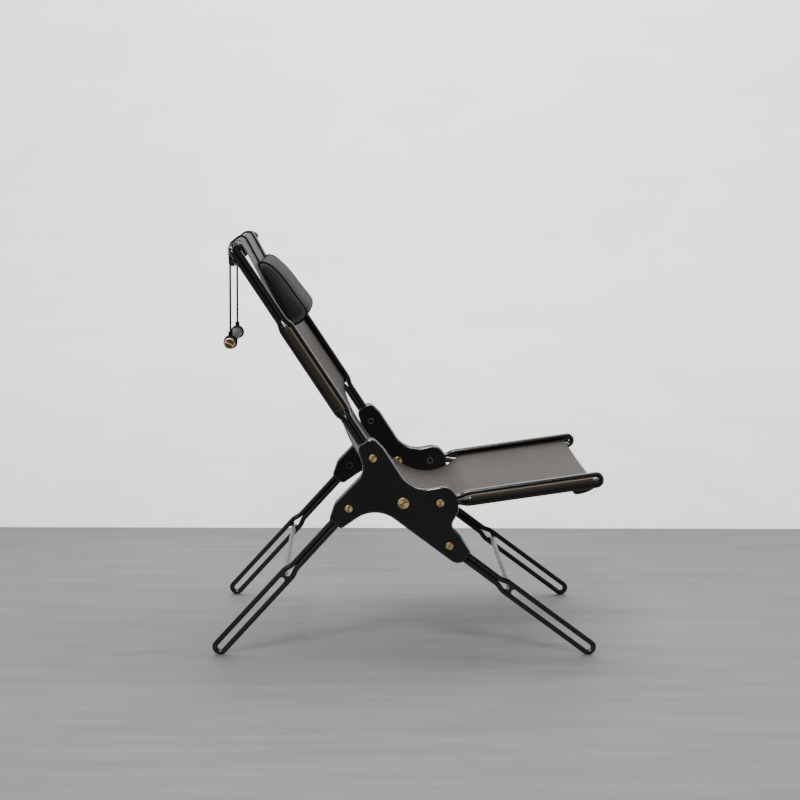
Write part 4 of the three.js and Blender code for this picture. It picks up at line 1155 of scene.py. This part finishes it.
drop_x = bow_centre[0] - BOW_MID - CORD_OFF
leave_at = polar(tube_centre, TUBE_MID + CORD_OFF, tube_to_entry)
pad_top = upper_run.at(PAD_MIDDLE + PAD_LENGTH / 2 + GAP, -CORD_OFF)


def cord_piece(name, line, node):
    """A stretch of cord, with the ends of its middle line."""
    points = [tuple(world(p)) for p in line.points]
    piece = mesh_object(name, *tube(line, CORD / 2, 16, 0.3), CORD_LOOK, None)
    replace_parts(piece, node)
    return piece, points[0], points[-1]


def hoop(centre, u, v, radius, thick, steps, waver=0.0):
    """A ring of cord in the plane of two directions, wavering out of it."""
    up = np.cross(v, u)
    rings = []
    for t in turns(steps):
        away = u * math.cos(t) + v * math.sin(t)
        rings.append(circle(centre + away * radius + up * waver * math.sin(t), away, up, thick, 16))
    return rings_mesh(rings, True)


for side, name in SIDES:
    z = side * CORD_Z
    front = Line(lift(pad_top, z), lift(upper_run.along, 0))
    front.run(np.linalg.norm(leave_at - pad_top) - GAP, 12)
    piece, start, end = cord_piece(f"headrest_cord_{name}", front, f"cord_front_{name}")
    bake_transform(piece)
    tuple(start)
    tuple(end)
    over = Line(lift(leave_at, z), lift(upper_run.along, 0))
    over.turn(bow_end - less(tube_to_entry, bow_end), TUBE_MID + CORD_OFF, 20)
    a = polar(tube_centre, TUBE_MID + CORD_OFF, bow_to_tube)
    b = polar(bow_centre, BOW_MID + CORD_OFF, bow_to_tube)
    over.run(np.linalg.norm(a - b), 3)
    over.turn(math.pi - bow_end % (2 * math.pi), BOW_MID + CORD_OFF, 12)
    over.run(bow_centre[1] - SWING_Y - GAP / 2, 6)
    piece, _, _ = cord_piece(f"crest_cord_{name}", over, f"cord_over_{name}")
    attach(piece, "frame")
    loop = hoop(hung(drop_x, 0, z), Y, X, LOOP_R, CORD / 2, 40)
    wrap = mesh_object(f"cord_loop_{name}", *loop, CORD_LOOK, "counterweight")
    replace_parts(wrap, f"cord_ring_{name}")
    bottom = WEIGHT_Y + LOOP_R + CORD / 2 + GAP
    drop = Line((drop_x, SWING_Y - GAP / 2, z), -Y).run(SWING_Y - GAP / 2 - bottom, 24)
    knot = [hoop(np.array([drop_x, bottom + h, z]), X, Z, KNOT_R, KNOT_CORD_R, 24, 0.4) for h in KNOT_TURNS]
    tie = mesh_object(f"cord_knot_{name}", *joined(knot), CORD_LOOK, "counterweight")
    piece, start, end = cord_piece(
        f"hanging_cord_{name}", drop, f"cord_drop_{name}"
    )
    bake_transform(piece)
    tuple(start)
    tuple(end)
    cap_at = hung(drop_x, 0, side * (WEIGHT_HALF - CAP_LENGTH))
    disc = f"weight_disc_{name}", 11.6, CAP_LENGTH, 1
    slotted(*disc, cap_at, side, -0.45, f"weight_cap_{name}", body="counterweight")

half = WEIGHT_HALF - CAP_LENGTH - GAP
line = Line(hung(drop_x, 0, -half), Z).run(2 * half, 40)
weight = mesh_object("weight_wrap", *tube(line, WEIGHT_R, 40, 0.8), WEIGHT_LOOK, "counterweight")
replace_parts(weight, "weight_bar")

# ---------- floor, wall and light ----------


def backdrop(name, corners, look):
    mesh = bpy.data.meshes.new(name)
    mesh.from_pydata(corners, [], [(0, 1, 2, 3)])
    mesh.materials.append(look.material)
    made = added(name, mesh)
    return made


look = Look("floor", (0.3, 0.3, 0.3), 0.62)
streaks = look.noise(2.2, 6, 0.65, stretch=(1, 7, 1))
look.shade(Base_Color=look.ramp(streaks, (0.3, (0.135, 0.131, 0.128)), (0.7, (0.19, 0.185, 0.181))))
look.bump(look.noise(60, 4), 0.0006, 0.4)
backdrop("floor", [(-9, -7, 0), (9, -7, 0), (9, 9, 0), (-9, 9, 0)], look)

# The wall glows though it is no lamp: its glow is painted light, dimmer towards the sides and the floor, in
# blotches like plaster.
look = Look("wall", (0.8, 0.8, 0.8), 0.9, Emission_Strength=1.5)
parts = look.node("SeparateXYZ", {"Vector": look.coords.outputs["Object"]})
side_falloff = look.ramp(look.span(parts.outputs["X"], -1.3, 1.3, 0, 1), (0.0, 0.8), (0.5, 1.0), (1.0, 0.9))
floor_falloff = look.ramp(look.span(parts.outputs["Z"], 0.0, 1.0, 0, 1), (0.0, 0.76), (0.5, 1.0), (1.0, 1.0))
plaster_glow = look.span(look.noise(7, 8, 0.68, stretch=(0.6, 1, 1.6)), 0.25, 0.75, 0.89, 1.09)
glow = look.math("MULTIPLY", plaster_glow, look.math("MULTIPLY", side_falloff, floor_falloff))
look.shade(
    Base_Color=look.ramp(look.noise(1.3, 3), (0.3, 0.78), (0.7, 0.82)),
    Emission_Color=look.mix(glow, (0, 0, 0), (0.985, 0.99, 1.0)),
)
# seen from behind, the wall is clear
behind = look.node("NewGeometry").outputs["Backfacing"]
clear = look.node("BsdfTransparent").outputs[0]
either = look.node("MixShader", {0: behind, 1: look.shader.outputs[0], 2: clear})
look.links.new(either.outputs[0], look.nodes["Material Output"].inputs["Surface"])
wall = backdrop("wall", [(-9, 1.1, 0), (9, 1.1, 0), (9, 1.1, 6), (-9, 1.1, 6)], look)
wall.visible_shadow = False

world_look = bpy.data.worlds.new("studio")
world_look.use_nodes = True
sky = world_look.node_tree.nodes["Background"]
sky.inputs["Color"].default_value = (0.9, 0.92, 0.95, 1)
sky.inputs["Strength"].default_value = 0.08
bpy.context.scene.world = world_look


def area(name, location, target, size, power):
    data = bpy.data.lights.new(name, "AREA")
    data.shape = "RECTANGLE"
    data.size, data.size_y = size
    data.energy = power
    lamp = added(name, data)
    lamp.location = location
    lamp.rotation_euler = (Vector(target) - Vector(location)).to_track_quat("-Z", "Y").to_euler()


area("overhead", (0.3, 0.4, 2.8), (0, 0, 0.3), (2.4, 1.0), 60)
area("key", (-0.6, -2.4, 2.9), (0, 0, 0.3), (0.8, 0.6), 80)
area("window", (-0.9, -3.4, 2.2), (0, 0, 0.4), (2.4, 1.0), 35)
area("left", (-2.6, -1.6, 2.0), (0, 0, 0.5), (1.0, 1.6), 8)
area("right", (2.8, -1.0, 1.7), (0, 0, 0.5), (1.0, 1.4), 6)
